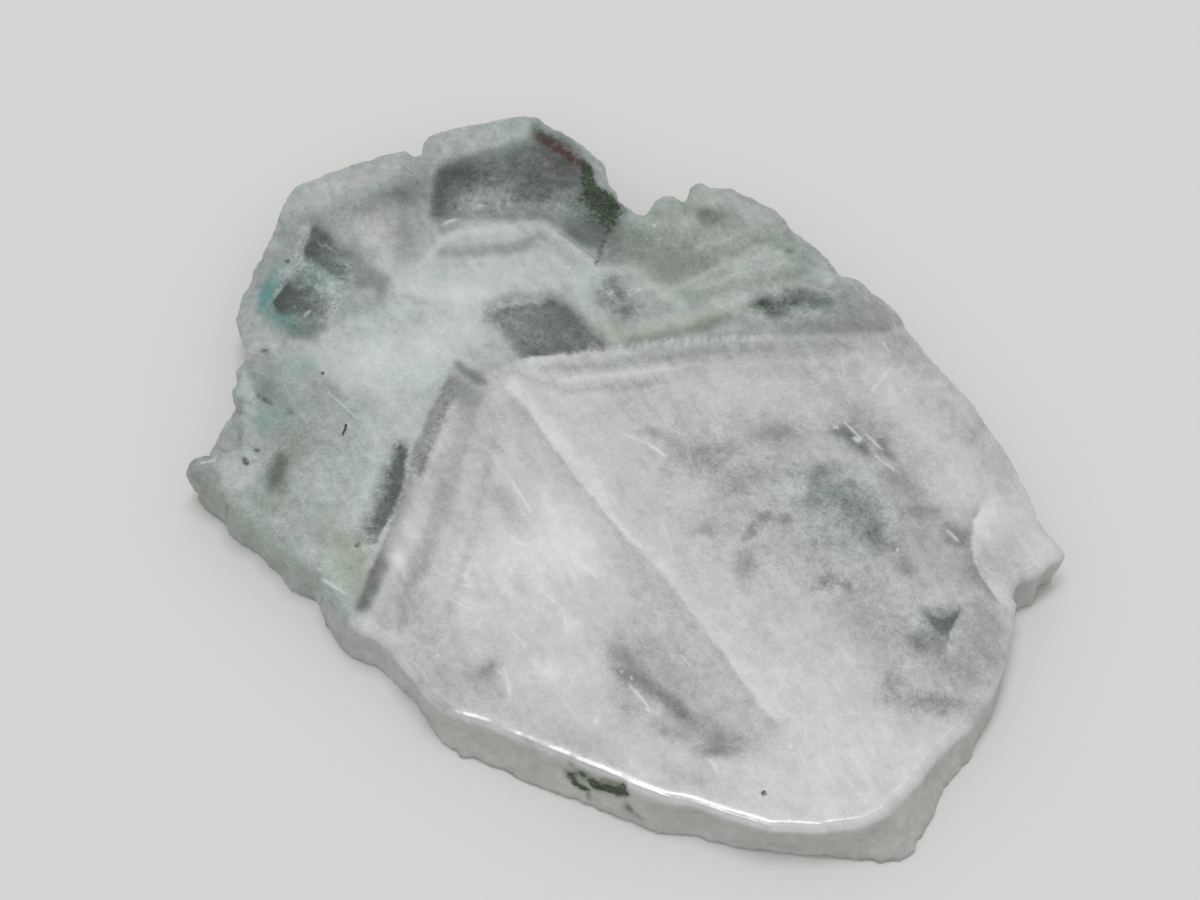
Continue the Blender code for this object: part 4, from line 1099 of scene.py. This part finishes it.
# Thin marks on the sawn face, which aren't wavered: value, width and points.
MILK_MARKS = (
    # healed cracks in the lower crystals, and painted glints as short white dots
    (1.1, 0.12, (-8.3, -2.5), (-7.6, -3.7), (-6.9, -5)),
    (1.12, 0.14, (-2.9, -9.7), (-2.3, -10.2), (-1.9, -10.5)),
    (1.05, 0.12, (-6, -11.5), (-5.2, -12.2), (-4.4, -13), (-4.2, -14.3)),
    (1.08, 0.14, (-11.6, -10.2), (-11.4, -10.7), (-11.2, -11.2)),
    (1.05, 0.12, (-10.8, -9.4), (-10.5, -9.9), (-10.2, -10.3)),
    (1.08, 0.12, (-8.5, -8.8), (-8.8, -9.4), (-9.2, -10)),
    (1.04, 0.12, (-7.9, -8.9), (-8, -9.5)),
    (1.04, 0.12, (-12.8, -12.2), (-11.7, -12.9), (-10.5, -13.2), (-9.5, -12.6)),
    (1.05, 0.12, (-8, -15), (-7.6, -15.5), (-7.2, -16.2)),
    (1.08, 0.14, (-8.7, -17.8), (-8.4, -18.6), (-8.3, -19.8)),
    (1.02, 0.12, (-9.4, -7.4), (-8.4, -7), (-7.5, -7.7)),
    (1.02, 0.12, (-6.6, -7.9), (-5.2, -7.7), (-3.6, -8.1)),
    (1.25, 0.16, (-2, -21.9), (-2, -22.1)),
    (1.2, 0.14, (-0.1, -18.1), (-0.05, -18.15)),
    (1.2, 0.14, (0.6, -18.6), (0.65, -18.65)),
    (1.2, 0.14, (-13.6, -16.8), (-13.5, -16.85)),
    (1.05, 0.12, (0.9, -19.6), (1.5, -20.4), (1.9, -21)),
    (1.15, 0.16, (1.7, -21), (1.9, -21.2)),
    (1.02, 0.1, (4.3, -16.8), (4.6, -17.2), (4.9, -17.6)),
    (1.1, 0.12, (6.2, -25), (6.5, -25.5), (6.8, -26)),
    (1.05, 0.12, (9, -25.6), (9.6, -26.6)),
    (1.05, 0.12, (10, -25.7), (10.9, -26.1)),
    (1.2, 0.16, (12, -24), (12.1, -24.05)),
    (1.05, 0.12, (15.3, -19), (15.6, -19.5), (16, -20)),
    # cracks and glints in the right-hand crystal
    (1.12, 0.14, (2.1, 0.7), (2.7, 0.2), (3.3, -0.35)),
    (1.02, 0.12, (0.2, 1.6), (1.2, 1.1), (2, 0.8)),
    (1.2, 0.14, (3.4, -3.4), (3.5, -3.45)),
    (1, 0.12, (20.3, 9.7), (20.7, 8.9)),
    (1.02, 0.13, (19.2, 5.3), (19.9, 6.2), (20.6, 7.2)),
    (0.98, 0.12, (17.1, 8), (17.2, 6.7)),
    (1.12, 0.13, (17, 2.6), (17.6, 1.9), (18.2, 1.2)),
    (1.3, 0.22, (17.75, 1.2), (18, 1.05)),
    (1.2, 0.16, (16.25, 2.2), (16.45, 2.1)),
    (1.05, 0.13, (18.6, 1.6), (19.2, 0.9), (19.8, 0.2)),
    (1.02, 0.13, (19.3, -0.3), (19.9, -0.9), (20.6, -1.5)),
    (1.2, 0.14, (23.6, -0.95), (23.7, -1)),
    (1.2, 0.14, (25, -1.1), (25.05, -1.15)),
    (1.2, 0.14, (20.5, -8.2), (20.55, -8.25)),
    (1.05, 0.12, (24.3, -6.6), (24.7, -7), (25.1, -7.5)),
    (0.3, 0.14, (25.2, -7.4), (25.5, -7.7), (25.8, -8)),
    (0.84, 0.11, (25.2, -12.9), (24.7, -13.9), (24.2, -14.9), (23.9, -16.2)),
    # painted glints as white dots, and pale dots and edges, in the upper crystals
    (1.25, 0.18, (2.6, 20.4), (2.7, 20.4)),
    (1.2, 0.16, (1.35, 14.45), (1.45, 14.4)),
    (1.2, 0.16, (-4.2, 16.5), (-4.1, 16.45)),
    (0.98, 0.14, (-14, 20.6), (-13.6, 20.8), (-13.2, 20.9)),
    (0.8, 0.1, (-2.35, 9.6), (-2.2, 9.65)),
    (0.75, 0.1, (-3.6, 9.2), (-3.4, 9.25)),
    (0.8, 0.1, (-23.4, 18.6), (-22.8, 18.1)),
    (0.62, 0.09, (-24, 18.8), (-23.5, 18.3)),
    (0.66, 0.09, (-24.4, 17.3), (-24.5, 16.8), (-24.6, 16.4)),
    (0.7, 0.1, (-21.8, 16.9), (-21.2, 16.5)),
    (0.72, 0.1, (-25.6, 13), (-25.4, 12.7)),
    (0.88, 0.12, (-24.7, 12), (-24.5, 12.3), (-24.3, 12.5)),
    (0.98, 0.1, (-22.5, 5.2), (-21.4, 4.1), (-20.2, 2.9)),
    (1.2, 0.16, (-22.6, -9.8), (-22.5, -9.85)),
    (1.02, 0.12, (-22, -10.8), (-21.3, -11.3), (-20.5, -11.9)),
    (1.05, 0.12, (-31.9, -0.9), (-31, -0.7), (-30.6, 0), (-30, 0.2)),
)

MOSS_MARKS = (
    # black and dark green needles and specks
    (0.95, 0.11, (-21.05, 2.4), (-21.1, 2), (-21.3, 1.5)),
    (0.22, 0.1, (-17.6, 26.1), (-17.2, 25.7), (-16.7, 25.3)),
    (0.22, 0.12, (-5, 19.8), (-4.2, 19.2), (-3.4, 18.4), (-2.6, 17.75), (-2.1, 17.3)),
    (0.5, 0.09, (-1.95, 17.1), (-2.05, 16.8)),
    (0.9, 0.22, (10, -27.5), (10.05, -27.6)),
    (0.6, 0.16, (-23.1, 6.9), (-23, 6.9)),
    (0.8, 0.16, (-26.35, 17.1), (-26.25, 17.1)),
)

# Inclusions on the near wall, with places as x and height.
NEAR_WALL = {
    "lime": (
        area(0.75, 0.9, 0.5, (-3.5, 3.8), (-2.6, 4), (-1.7, 3.9), (-1, 4.4), (0.1, 4.7),
            (0.2, 3.6), (-0.6, 3), (-1.8, 2.6), (-2.4, 1.9), (-3.4, 2), (-3.9, 2.8)),
        spot(1.6, 0.9, (-2.1, 3.4), 0.45, 0.5),
        wisp(1, 0.9, 0.9, 0.5, (-1.7, 3.9), (-0.9, 4.2), (0.2, 4.5)),
        spot(0.3, 0.8, (-4.6, 4.2), 0.5, 0.6),
        spot(0.22, 0.8, (-9.2, 1.6), 1, 1),
    ),
    "moss": (
        spot(0.35, 1, (-3.7, 4.4), 0.25, 0.3),
        spot(1.05, 1, (-3.7, 3.05), 0.38, 0.4),
        spot(1.05, 1, (-3, 3.8), 0.34, 0.42, -20),
        wisp(0.95, 1, 0.65, 0.4, (-3.6, 2.9), (-3.4, 2.3), (-2.9, 2.1), (-2.4, 2.2)),
        spot(0.1, 0.9, (-3.15, 3), 0.25, 0.35),
        wisp(0.35, 0.9, 0.35, 0.3, (-2.6, 2.1), (-2.5, 1.4), (-2.5, 0.8)),
        spot(0.5, 0.9, (-2.1, 3.5), 0.5, 0.5),
        wisp(0.38, 0.9, 0.9, 0.6, (-1.7, 3.9), (-0.9, 4.1), (0.2, 4.3)),
        area(0.45, 0.9, 0.5, (-1.7, 3.9), (-1, 4.4), (0.1, 4.7), (0.2, 3.8), (-0.9, 3.5)),
        wisp(1.35, 1, 1, 0.7, (-2.4, 3.3), (-1.8, 3), (-1.1, 3.2), (-0.5, 3.2), (0.3, 3.7)),
        spot(1.1, 1, (0, 4), 0.25, 0.5),
        spot(0.35, 0.8, (-1.5, 3.5), 0.22, 0.2),
        spot(0.35, 0.8, (-0.7, 3.75), 0.25, 0.2),
        spot(0.6, 1, (-0.5, 2.6), 0.18, 0.18),
        spot(0.4, 1, (0.4, 2.1), 0.25, 0.35),
    ),
    "rust": (
        wisp(0.3, 0.9, 0.4, 0.3, (-2.6, 2.1), (-2.5, 1.4), (-2.5, 0.8)),
        spot(0.6, 1, (0.45, 2), 0.3, 0.4),
        spot(0.45, 1, (1, 1.5), 0.4, 0.35),
        spot(0.12, 0.8, (2.2, 0.7), 1.2, 0.5),
    ),
    "pink": (
        spot(1, 0.8, (6.6, 1.2), 3, 1.2),
        spot(0.7, 0.7, (-13, 1.4), 3, 1),
    ),
}


# ------------------------------------------------------------------ the growth pattern


def wavered(points, size, span):
    """Sideways shifts of a given size that change over a given distance."""
    shifts = [[noise.noise(Vector(p) / span + start) for start in WAVER_STARTS] for p in points]
    return np.array(shifts) * size


def growth_comb():
    """Short grey and white teeth along the ragged boundary of the right-hand crystal."""
    teeth = []
    for number in range(COMB_TEETH):
        spread, height, lean = (
            amount * math.sin(turn * number)
            for amount, turn in (COMB_SPREAD, COMB_HEIGHT, COMB_LEAN)
        )
        x = COMB_START + number * COMB_STEP + spread
        y = COMB_LINE[0] + COMB_LINE[1] * x + COMB_LINE[2] * x * x
        height = (COMB_LEAST_HEIGHT + abs(height)) * (1.0 - COMB_TAPER * number / COMB_TEETH)
        grey = ((x, y - GREY_FOOT * height), (x + lean, y + height))
        x += COMB_SHIFT
        white = ((x, y - height), (x + lean, y + WHITE_TOP * height))
        teeth += [wisp(*GREY_TOOTH, *grey), wisp(*WHITE_TOOTH, *white)]
    return teeth


def frost(channels, points, depth):
    """Change the channels to the walls' frosted skin; the sawn faces have none."""
    skin = SKIN_COVER * smooth(*SKIN_DEPTHS, depth) * (points[:, 2] > FOOT_HEIGHT)
    skin *= LEFT_SKIN + (1.0 - LEFT_SKIN) * smooth(*LEFT_WALLS, points[:, 0])
    for name, value in SKIN_LEVELS:
        channels[name] += (value - channels[name]) * skin


def draw_marks(values, marks, strength, points, depth):
    """Draw thin marks over one channel's values on the upper face."""
    near = np.flatnonzero(depth < RIM_DROP * MARK_DEPTH)
    for value, width, *corners in marks:
        away = polyline_distance(points[near, 0], points[near, 1], corners)[0]
        start, end = (width * share for share in MARK_EDGES)
        cover = strength * (1.0 - smooth(start, end, away))
        values[near] += (value - values[near]) * cover


def paint_near_wall(channels, points, depth, shift):
    """Paint the near wall's own inclusions over the channels."""
    near = np.flatnonzero((points[:, 1] < NEAR_WALL_Y) & (depth > NEAR_WALL_DEPTH))
    across = points[near, 0] + shift[near, 0] * NEAR_WALL_WAVER
    height = points[near, 2] + shift[near, 1] * NEAR_WALL_WAVER
    for name, shapes in NEAR_WALL.items():
        values = channels[name][near]
        paint(values, across, height, shapes)
        channels[name][near] = values


def growth_pattern(points):
    """Every channel's value at each point of the slab."""
    depth = points[:, 2].max() - points[:, 2]
    shift = wavered(points, *BROAD_WAVER) + wavered(points, *FINE_WAVER)
    x = points[:, 0] + shift[:, 0] + depth * SLANT[0]
    y = points[:, 1] + shift[:, 1] + depth * SLANT[1]
    channels = {}
    for name, level, shapes in (
            ("milk", MILK_LEVEL, (*MILK, *growth_comb())), ("broken", BROKEN_LEVEL, BROKEN),
            ("green", 0.0, GREEN), ("pink", PINK_LEVEL, PINK), ("moss", 0.0, MOSS),
            ("teal", 0.0, TEAL), ("rust", 0.0, RUST), ("lime", 0.0, LIME)):
        channels[name] = np.full(len(points), level)
        paint(channels[name], x, y, shapes)
    for added, *oval in TONES:
        channels["milk"] += added * spot_cover(x, y, *oval)
    frost(channels, points, depth)
    draw_marks(channels["milk"], MILK_MARKS, MILK_MARK_STRENGTH, points, depth)
    draw_marks(channels["moss"], MOSS_MARKS, MOSS_MARK_STRENGTH, points, depth)
    paint_near_wall(channels, points, depth, shift)
    return channels


# ------------------------------------------------------------------ the stone's material

# Colours are linear red, green and blue.
# The low milk levels, for clear stone, are painted dark: painted shade that stands for a dark
# ground seen through the stone.
STONE_COLOURS_AND_PAINTED_SHADE = (            # milk level, colour
    (0.0, (0.080, 0.098, 0.090)),
    (0.3, (0.175, 0.194, 0.187)),
    (0.6, (0.320, 0.338, 0.332)),
    (0.9, (0.540, 0.555, 0.556)),
    (1.0, (0.640, 0.655, 0.661)),
    (1.3, (0.880, 0.890, 0.905)),
)
MILK_TOP = 1.3
CLEARNESS = ((0.0, 0.55), (0.5, 0.25), (0.85, 0.0))   # milk level, transmission
GREEN_CAST = (0.88, 1.02, 0.965)
PINK_CAST = (1.04, 0.96, 0.995)
MOSS_COLOURS = ((0.42, (0.002, 0.010, 0.002)), (0.66, (0.030, 0.105, 0.012)))
MOSS_MIX = (0.3, 0.45)       # how far the noise moves between them, and about what
AJOITE_BLUE = (0.060, 0.290, 0.268)
IRON_RED = (0.046, 0.004, 0.003)
LIME_GREEN = (0.330, 0.420, 0.190)
SPARKLE_WHITE = (0.85, 0.86, 0.88)
SPARKLE_COVER = 0.4
QUARTZ_IOR = 1.544
DEPTH_TINT = (0.80, 0.90, 0.84)
DEPTH_DENSITY = 120.0        # for each metre
ROUGHNESS = 0.34
ROUGH_DRIFT = 0.05
POLISH_EFFECT = -0.22        # what full polish adds to the roughness
BUMP_HEIGHT = 0.03 * MM
BUMP_STRENGTH = 0.5          # where the stone isn't polished

NOISE_GAIN = 3.2             # spreads the noise nodes' values to about -1 to 1

# Noises: scale for each millimetre, detail, roughness and distortion.
CLOUDS = (0.42, 4.0, 0.6, 0.4)
VEILS = (0.9, 3.0, 0.6, 0.3)
MOTTLE = (1.25, 5.0, 0.68)
SPECKLE = (4.2, 2.0, 0.6)
FLECKS = (1.5, 5.0, 0.80, 0.6)
DRIFT = (0.27, 3.0, 0.6)
RAGGED = (2.2, 4.0, 0.75)
LACY = (3.1, 4.0, 0.7)
GROUND = (1.1, 4.0, 0.6)
PITS = (2.4, 4.0, 0.65)
FINE_PITS = (9.0, 2.0)
SPARKLE_SCALE = 1.3
SPARKLE_SHARE = 0.90         # cells above this have a sparkle
SPARKLE_SIZE = 0.10
NOISE_TURN = (0.37, 0.29, 0.23)      # keeps the flat faces out of line with the noise's cells
VEIL_TURN = -54.0            # degrees, along the diagonal boundary
VEIL_STRETCH = (4.5, 0.8, 2.0)

# Where the milk level is halfway it changes most, and the clouds break it up most.
CLEAR_CHANGE = 0.25          # how much clear stone changes, next to milky stone
CHANGE_GAIN = 3.0

# How far each noise moves the milk level: a base, and what the changing stone adds to it.
CLOUD_SHARE = 0.08
VEIL_SHARE = 0.06
MOTTLE_SHARE = (0.05, 0.16)
SPECKLE_SHARE = (0.035, 0.09)
FLECK_SHARE = 0.32

# A noise's low and high level, and what each is turned into.
FLECK_LEVELS = (-0.1, 0.9, 0.40, -0.75)
GREEN_DRIFT = (-0.7, 0.7, 0.5, 1.4)
PINK_DRIFT = (-0.9, 0.1, 0.45, 0.0)


class Graph:
    """A material's nodes, with short ways to add and join them."""

    def __init__(self, name):
        self.material = bpy.data.materials.new(name)
        self.material.use_nodes = True
        self.tree = self.material.node_tree
        self.shader = self.tree.nodes["Principled BSDF"]
        self.output = self.tree.nodes["Material Output"]

    def join(self, value, socket):
        """Link a socket, or set a plain value."""
        if isinstance(value, bpy.types.NodeSocket):
            self.tree.links.new(value, socket)
        else:
            socket.default_value = value

    def add(self, kind, inputs, **settings):
        node = self.tree.nodes.new(kind)
        for name, value in settings.items():
            setattr(node, name, value)
        for key, value in inputs.items():
            self.join(value, node.inputs[key])
        return node

    def compute(self, operation, *values):
        inputs = dict(enumerate(values))
        return self.add("ShaderNodeMath", inputs, operation=operation).outputs[0]

    def channel(self, name):
        return self.add("ShaderNodeAttribute", {}, attribute_name=name).outputs["Fac"]

    def cloud(self, vector, scale, detail, roughness=0.55, distortion=0.0):
        """Soft noise from about -1 to 1."""
        inputs = {"Vector": vector, "Scale": scale, "Detail": detail,
                  "Roughness": roughness, "Distortion": distortion}
        value = self.add("ShaderNodeTexNoise", inputs).outputs[0]
        return self.compute("MULTIPLY_ADD", value, NOISE_GAIN, -NOISE_GAIN / 2)

    def turned(self, vector, turn, scale, vector_type="POINT"):
        """A vector turned, in radians, and scaled."""
        node = self.add("ShaderNodeMapping", {0: vector}, vector_type=vector_type)
        node.inputs["Rotation"].default_value = turn
        node.inputs["Scale"].default_value = scale
        return node.outputs[0]

    def spread(self, value, low, high, start=0.0, end=1.0):
        """From start at low to end at high, with a smooth rise between them."""
        inputs = {0: value, 1: low, 2: high, 3: start, 4: end}
        node = self.add("ShaderNodeMapRange", inputs, interpolation_type="SMOOTHSTEP")
        return node.outputs[0]

    def ramp(self, value, stops):
        """Colours, or greys, along a 0 to 1 value."""
        node = self.add("ShaderNodeValToRGB", {0: value})
        elements = node.color_ramp.elements
        while len(elements) < len(stops):
            elements.new(0.5)
        for element, (place, colour) in zip(elements, stops):
            element.position = place
            element.color = (*colour, 1.0) if isinstance(colour, tuple) else (*(colour,) * 3, 1.0)
        return node.outputs[0]

    def blend(self, amount, below, above, blend_type="MIX"):
        node = self.add("ShaderNodeMix", {}, data_type="RGBA", blend_type=blend_type)
        self.join(amount, node.inputs[0])
        for value, socket in ((below, node.inputs[6]), (above, node.inputs[7])):
            self.join((*value, 1.0) if isinstance(value, tuple) else value, socket)
        return node.outputs[2]


def milk_level(graph, place):
    """The painted milkiness, broken up by clouds, veils and grain, most where it changes."""
    milk = graph.channel("milk")
    along = graph.turned(place, (0.0, 0.0, math.radians(VEIL_TURN)), VEIL_STRETCH, "TEXTURE")
    change = graph.compute("ADD", milk, CLEAR_CHANGE)
    change = graph.compute("MULTIPLY", change, graph.compute("SUBTRACT", 1.0, milk))
    change = graph.compute("MULTIPLY", change, CHANGE_GAIN)
    change = graph.compute("MAXIMUM", change, 0.0)
    change = graph.compute("MULTIPLY", change, graph.channel("broken"))
    level = graph.compute("MULTIPLY_ADD", graph.cloud(place, *CLOUDS), CLOUD_SHARE, milk)
    level = graph.compute("MULTIPLY_ADD", graph.cloud(along, *VEILS), VEIL_SHARE, level)
    for kind, (base, added) in ((MOTTLE, MOTTLE_SHARE), (SPECKLE, SPECKLE_SHARE)):
        share = graph.compute("MULTIPLY_ADD", change, added, base)
        level = graph.compute("MULTIPLY_ADD", graph.cloud(place, *kind), share, level)
    flecks = graph.spread(graph.cloud(place, *FLECKS), *FLECK_LEVELS)
    share = graph.compute("MULTIPLY", change, FLECK_SHARE)
    return graph.compute("MULTIPLY_ADD", flecks, share, level)


def by_milk(graph, level, stops):
    """Colours, or greys, along the milk level."""
    places = [(milk / MILK_TOP, value) for milk, value in stops]
    return graph.ramp(graph.compute("DIVIDE", level, MILK_TOP), places)


def stone_and_shade_colour(graph, place, level):
    """The stone's colour from its milkiness and its faint green and pink casts; where it is clear,
    the colour is painted shade, as dark as a dark ground seen through it.
    """
    drift = graph.cloud(place, *DRIFT)
    green = graph.compute("MULTIPLY", graph.channel("green"), graph.spread(drift, *GREEN_DRIFT))
    pink = graph.compute("ADD", graph.channel("pink"), graph.spread(drift, *PINK_DRIFT))
    colour = graph.blend(green, by_milk(graph, level, STONE_COLOURS_AND_PAINTED_SHADE), GREEN_CAST, "MULTIPLY")
    return graph.blend(pink, colour, PINK_CAST, "MULTIPLY")


def tinted(graph, place, colour):
    """The colour with ajoite, lime, iron and the dark green inclusions over it."""
    ragged = graph.cloud(place, *RAGGED)
    lacy = graph.cloud(place, *LACY)
    moss = graph.ramp(graph.compute("MULTIPLY_ADD", ragged, *MOSS_MIX), MOSS_COLOURS)
    for name, tint, strength, kind, reach in (
            ("teal", AJOITE_BLUE, 0.80, ragged, 0.55), ("lime", LIME_GREEN, 0.50, ragged, 0.55),
            ("rust", IRON_RED, 0.95, ragged, 0.80), ("moss", moss, 1.3, lacy, 0.9)):
        broken = graph.compute("MULTIPLY_ADD", kind, strength * reach, strength)
        amount = graph.compute("MULTIPLY", graph.channel(name), broken)
        amount = graph.compute("MINIMUM", graph.compute("MAXIMUM", amount, 0.0), 1.0)
        colour = graph.blend(amount, colour, tint)
    return colour


def sparkles(graph, place):
    """Sparse tiny painted glints, 0 or 1."""
    cells = graph.add("ShaderNodeTexVoronoi", {"Vector": place, "Scale": SPARKLE_SCALE})
    chosen = graph.add("ShaderNodeSeparateColor", {0: cells.outputs["Color"]}).outputs[0]
    size = graph.spread(chosen, SPARKLE_SHARE, 1.0, 0.0, SPARKLE_SIZE)
    close = graph.compute("LESS_THAN", cells.outputs["Distance"], size)
    return graph.compute("MULTIPLY", close, graph.compute("GREATER_THAN", chosen, SPARKLE_SHARE))


def clearness(graph, level):
    """How much light goes through: less where the stone is milky, none where dark green or iron
    fills it.
    """
    solid = graph.compute("MAXIMUM", graph.channel("moss"), graph.channel("rust"))
    clear = by_milk(graph, level, CLEARNESS)
    return graph.compute("MULTIPLY", clear, graph.compute("SUBTRACT", 1.0, solid))


def ground_surface(graph, place):
    """The roughness and the bumped normal of the ground stone; smoother where it is polished."""
    polish = graph.channel("polish")
    rough = graph.compute("MULTIPLY_ADD", graph.cloud(place, *GROUND), ROUGH_DRIFT, ROUGHNESS)
    rough = graph.compute("MULTIPLY_ADD", polish, POLISH_EFFECT, rough)
    height = graph.compute("ADD", graph.cloud(place, *PITS), graph.cloud(place, *FINE_PITS))
    strength = graph.compute("MULTIPLY_ADD", polish, -BUMP_STRENGTH, BUMP_STRENGTH)
    inputs = {"Height": height, "Distance": BUMP_HEIGHT, "Strength": strength}
    return rough, graph.add("ShaderNodeBump", inputs).outputs[0]


def quartz_material():
    """Milky quartz: one shader, with a faint green absorption in the volume."""
    graph = Graph(SLOT)
    corner = graph.add("ShaderNodeTexCoord", {}).outputs["Object"]
    place = graph.turned(corner, NOISE_TURN, (1 / MM,) * 3)
    level = milk_level(graph, place)
    colour = tinted(graph, place, stone_and_shade_colour(graph, place, level))
    # Painted glints: tiny white dots blended into the base colour.
    glint = graph.compute("MULTIPLY", sparkles(graph, place), SPARKLE_COVER)
    rough, normal = ground_surface(graph, place)
    for name, value in (("Base Color", graph.blend(glint, colour, SPARKLE_WHITE)),
                        ("Transmission Weight", clearness(graph, level)), ("Roughness", rough),
                        ("Normal", normal), ("IOR", QUARTZ_IOR)):
        graph.join(value, graph.shader.inputs[name])
    tint = graph.add("ShaderNodeVolumeAbsorption", {0: (*DEPTH_TINT, 1.0), 1: DEPTH_DENSITY})
    graph.join(tint.outputs[0], graph.output.inputs["Volume"])
    return graph.material


# ------------------------------------------------------------------ the stage


def floor():
    mesh = bpy.data.meshes.new("floor")
    corners = [(x * FLOOR_HALF, y * FLOOR_HALF, 0) for x, y in ((-1, -1), (1, -1), (1, 1), (-1, 1))]
    mesh.from_pydata(corners, [], [(0, 1, 2, 3)])
    ground = bpy.data.objects.new("floor", mesh)
    ground.location.z = -FLOOR_DROP
    bpy.context.scene.collection.objects.link(ground)
    material = bpy.data.materials.new("floor_paper")
    material.use_nodes = True
    shader = material.node_tree.nodes["Principled BSDF"]
    shader.inputs["Base Color"].default_value = FLOOR_COLOUR
    shader.inputs["Roughness"].default_value = FLOOR_ROUGHNESS
    ground.data.materials.append(material)


def key_lamp():
    """One soft oval lamp above, aimed at the middle of the part's frame."""
    light = bpy.data.lights.new("key", "AREA")
    light.shape = "ELLIPSE"
    light.size, light.size_y = KEY_SIZE
    light.energy = KEY_POWER
    holder = bpy.data.objects.new("key", light)
    holder.location = KEY_PLACE
    holder.rotation_euler = (-Vector(KEY_PLACE)).to_track_quat("-Z", "Y").to_euler()
    bpy.context.scene.collection.objects.link(holder)


def studio():
    """Even white light from all round."""
    world = bpy.data.worlds.new("studio")
    world.use_nodes = True
    background = world.node_tree.nodes["Background"]
    background.inputs["Color"].default_value = (1, 1, 1, 1)
    background.inputs["Strength"].default_value = STUDIO_LIGHT
    bpy.context.scene.world = world


def camera():
    data = bpy.data.cameras.new("camera")
    data.lens = CAMERA_LENS
    data.sensor_width = SENSOR_WIDTH
    data.clip_start, data.clip_end = CLIP_RANGE
    holder = bpy.data.objects.new("camera", data)
    tilt = math.radians(CAMERA_ELEVATION)
    back = Vector((0.0, -math.cos(tilt), math.sin(tilt)))
    holder.location = (Vector(LOOK_AT) + back * CAMERA_DISTANCE) * MM
    holder.rotation_euler = (math.radians(90.0 - CAMERA_ELEVATION), 0.0, 0.0)
    bpy.context.scene.collection.objects.link(holder)
    bpy.context.scene.camera = holder


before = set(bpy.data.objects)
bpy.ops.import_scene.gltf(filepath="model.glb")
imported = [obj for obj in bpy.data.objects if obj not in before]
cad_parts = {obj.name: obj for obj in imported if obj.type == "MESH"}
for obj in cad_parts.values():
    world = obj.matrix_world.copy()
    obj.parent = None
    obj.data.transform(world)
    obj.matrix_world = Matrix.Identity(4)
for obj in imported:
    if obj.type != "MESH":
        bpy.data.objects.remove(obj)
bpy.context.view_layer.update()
slab = slab_piece()
slab.data.materials.append(quartz_material())
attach(slab, "root")
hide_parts(NODE)
floor()
key_lamp()
studio()
camera()
bpy.context.scene.view_settings.view_transform = "Standard"
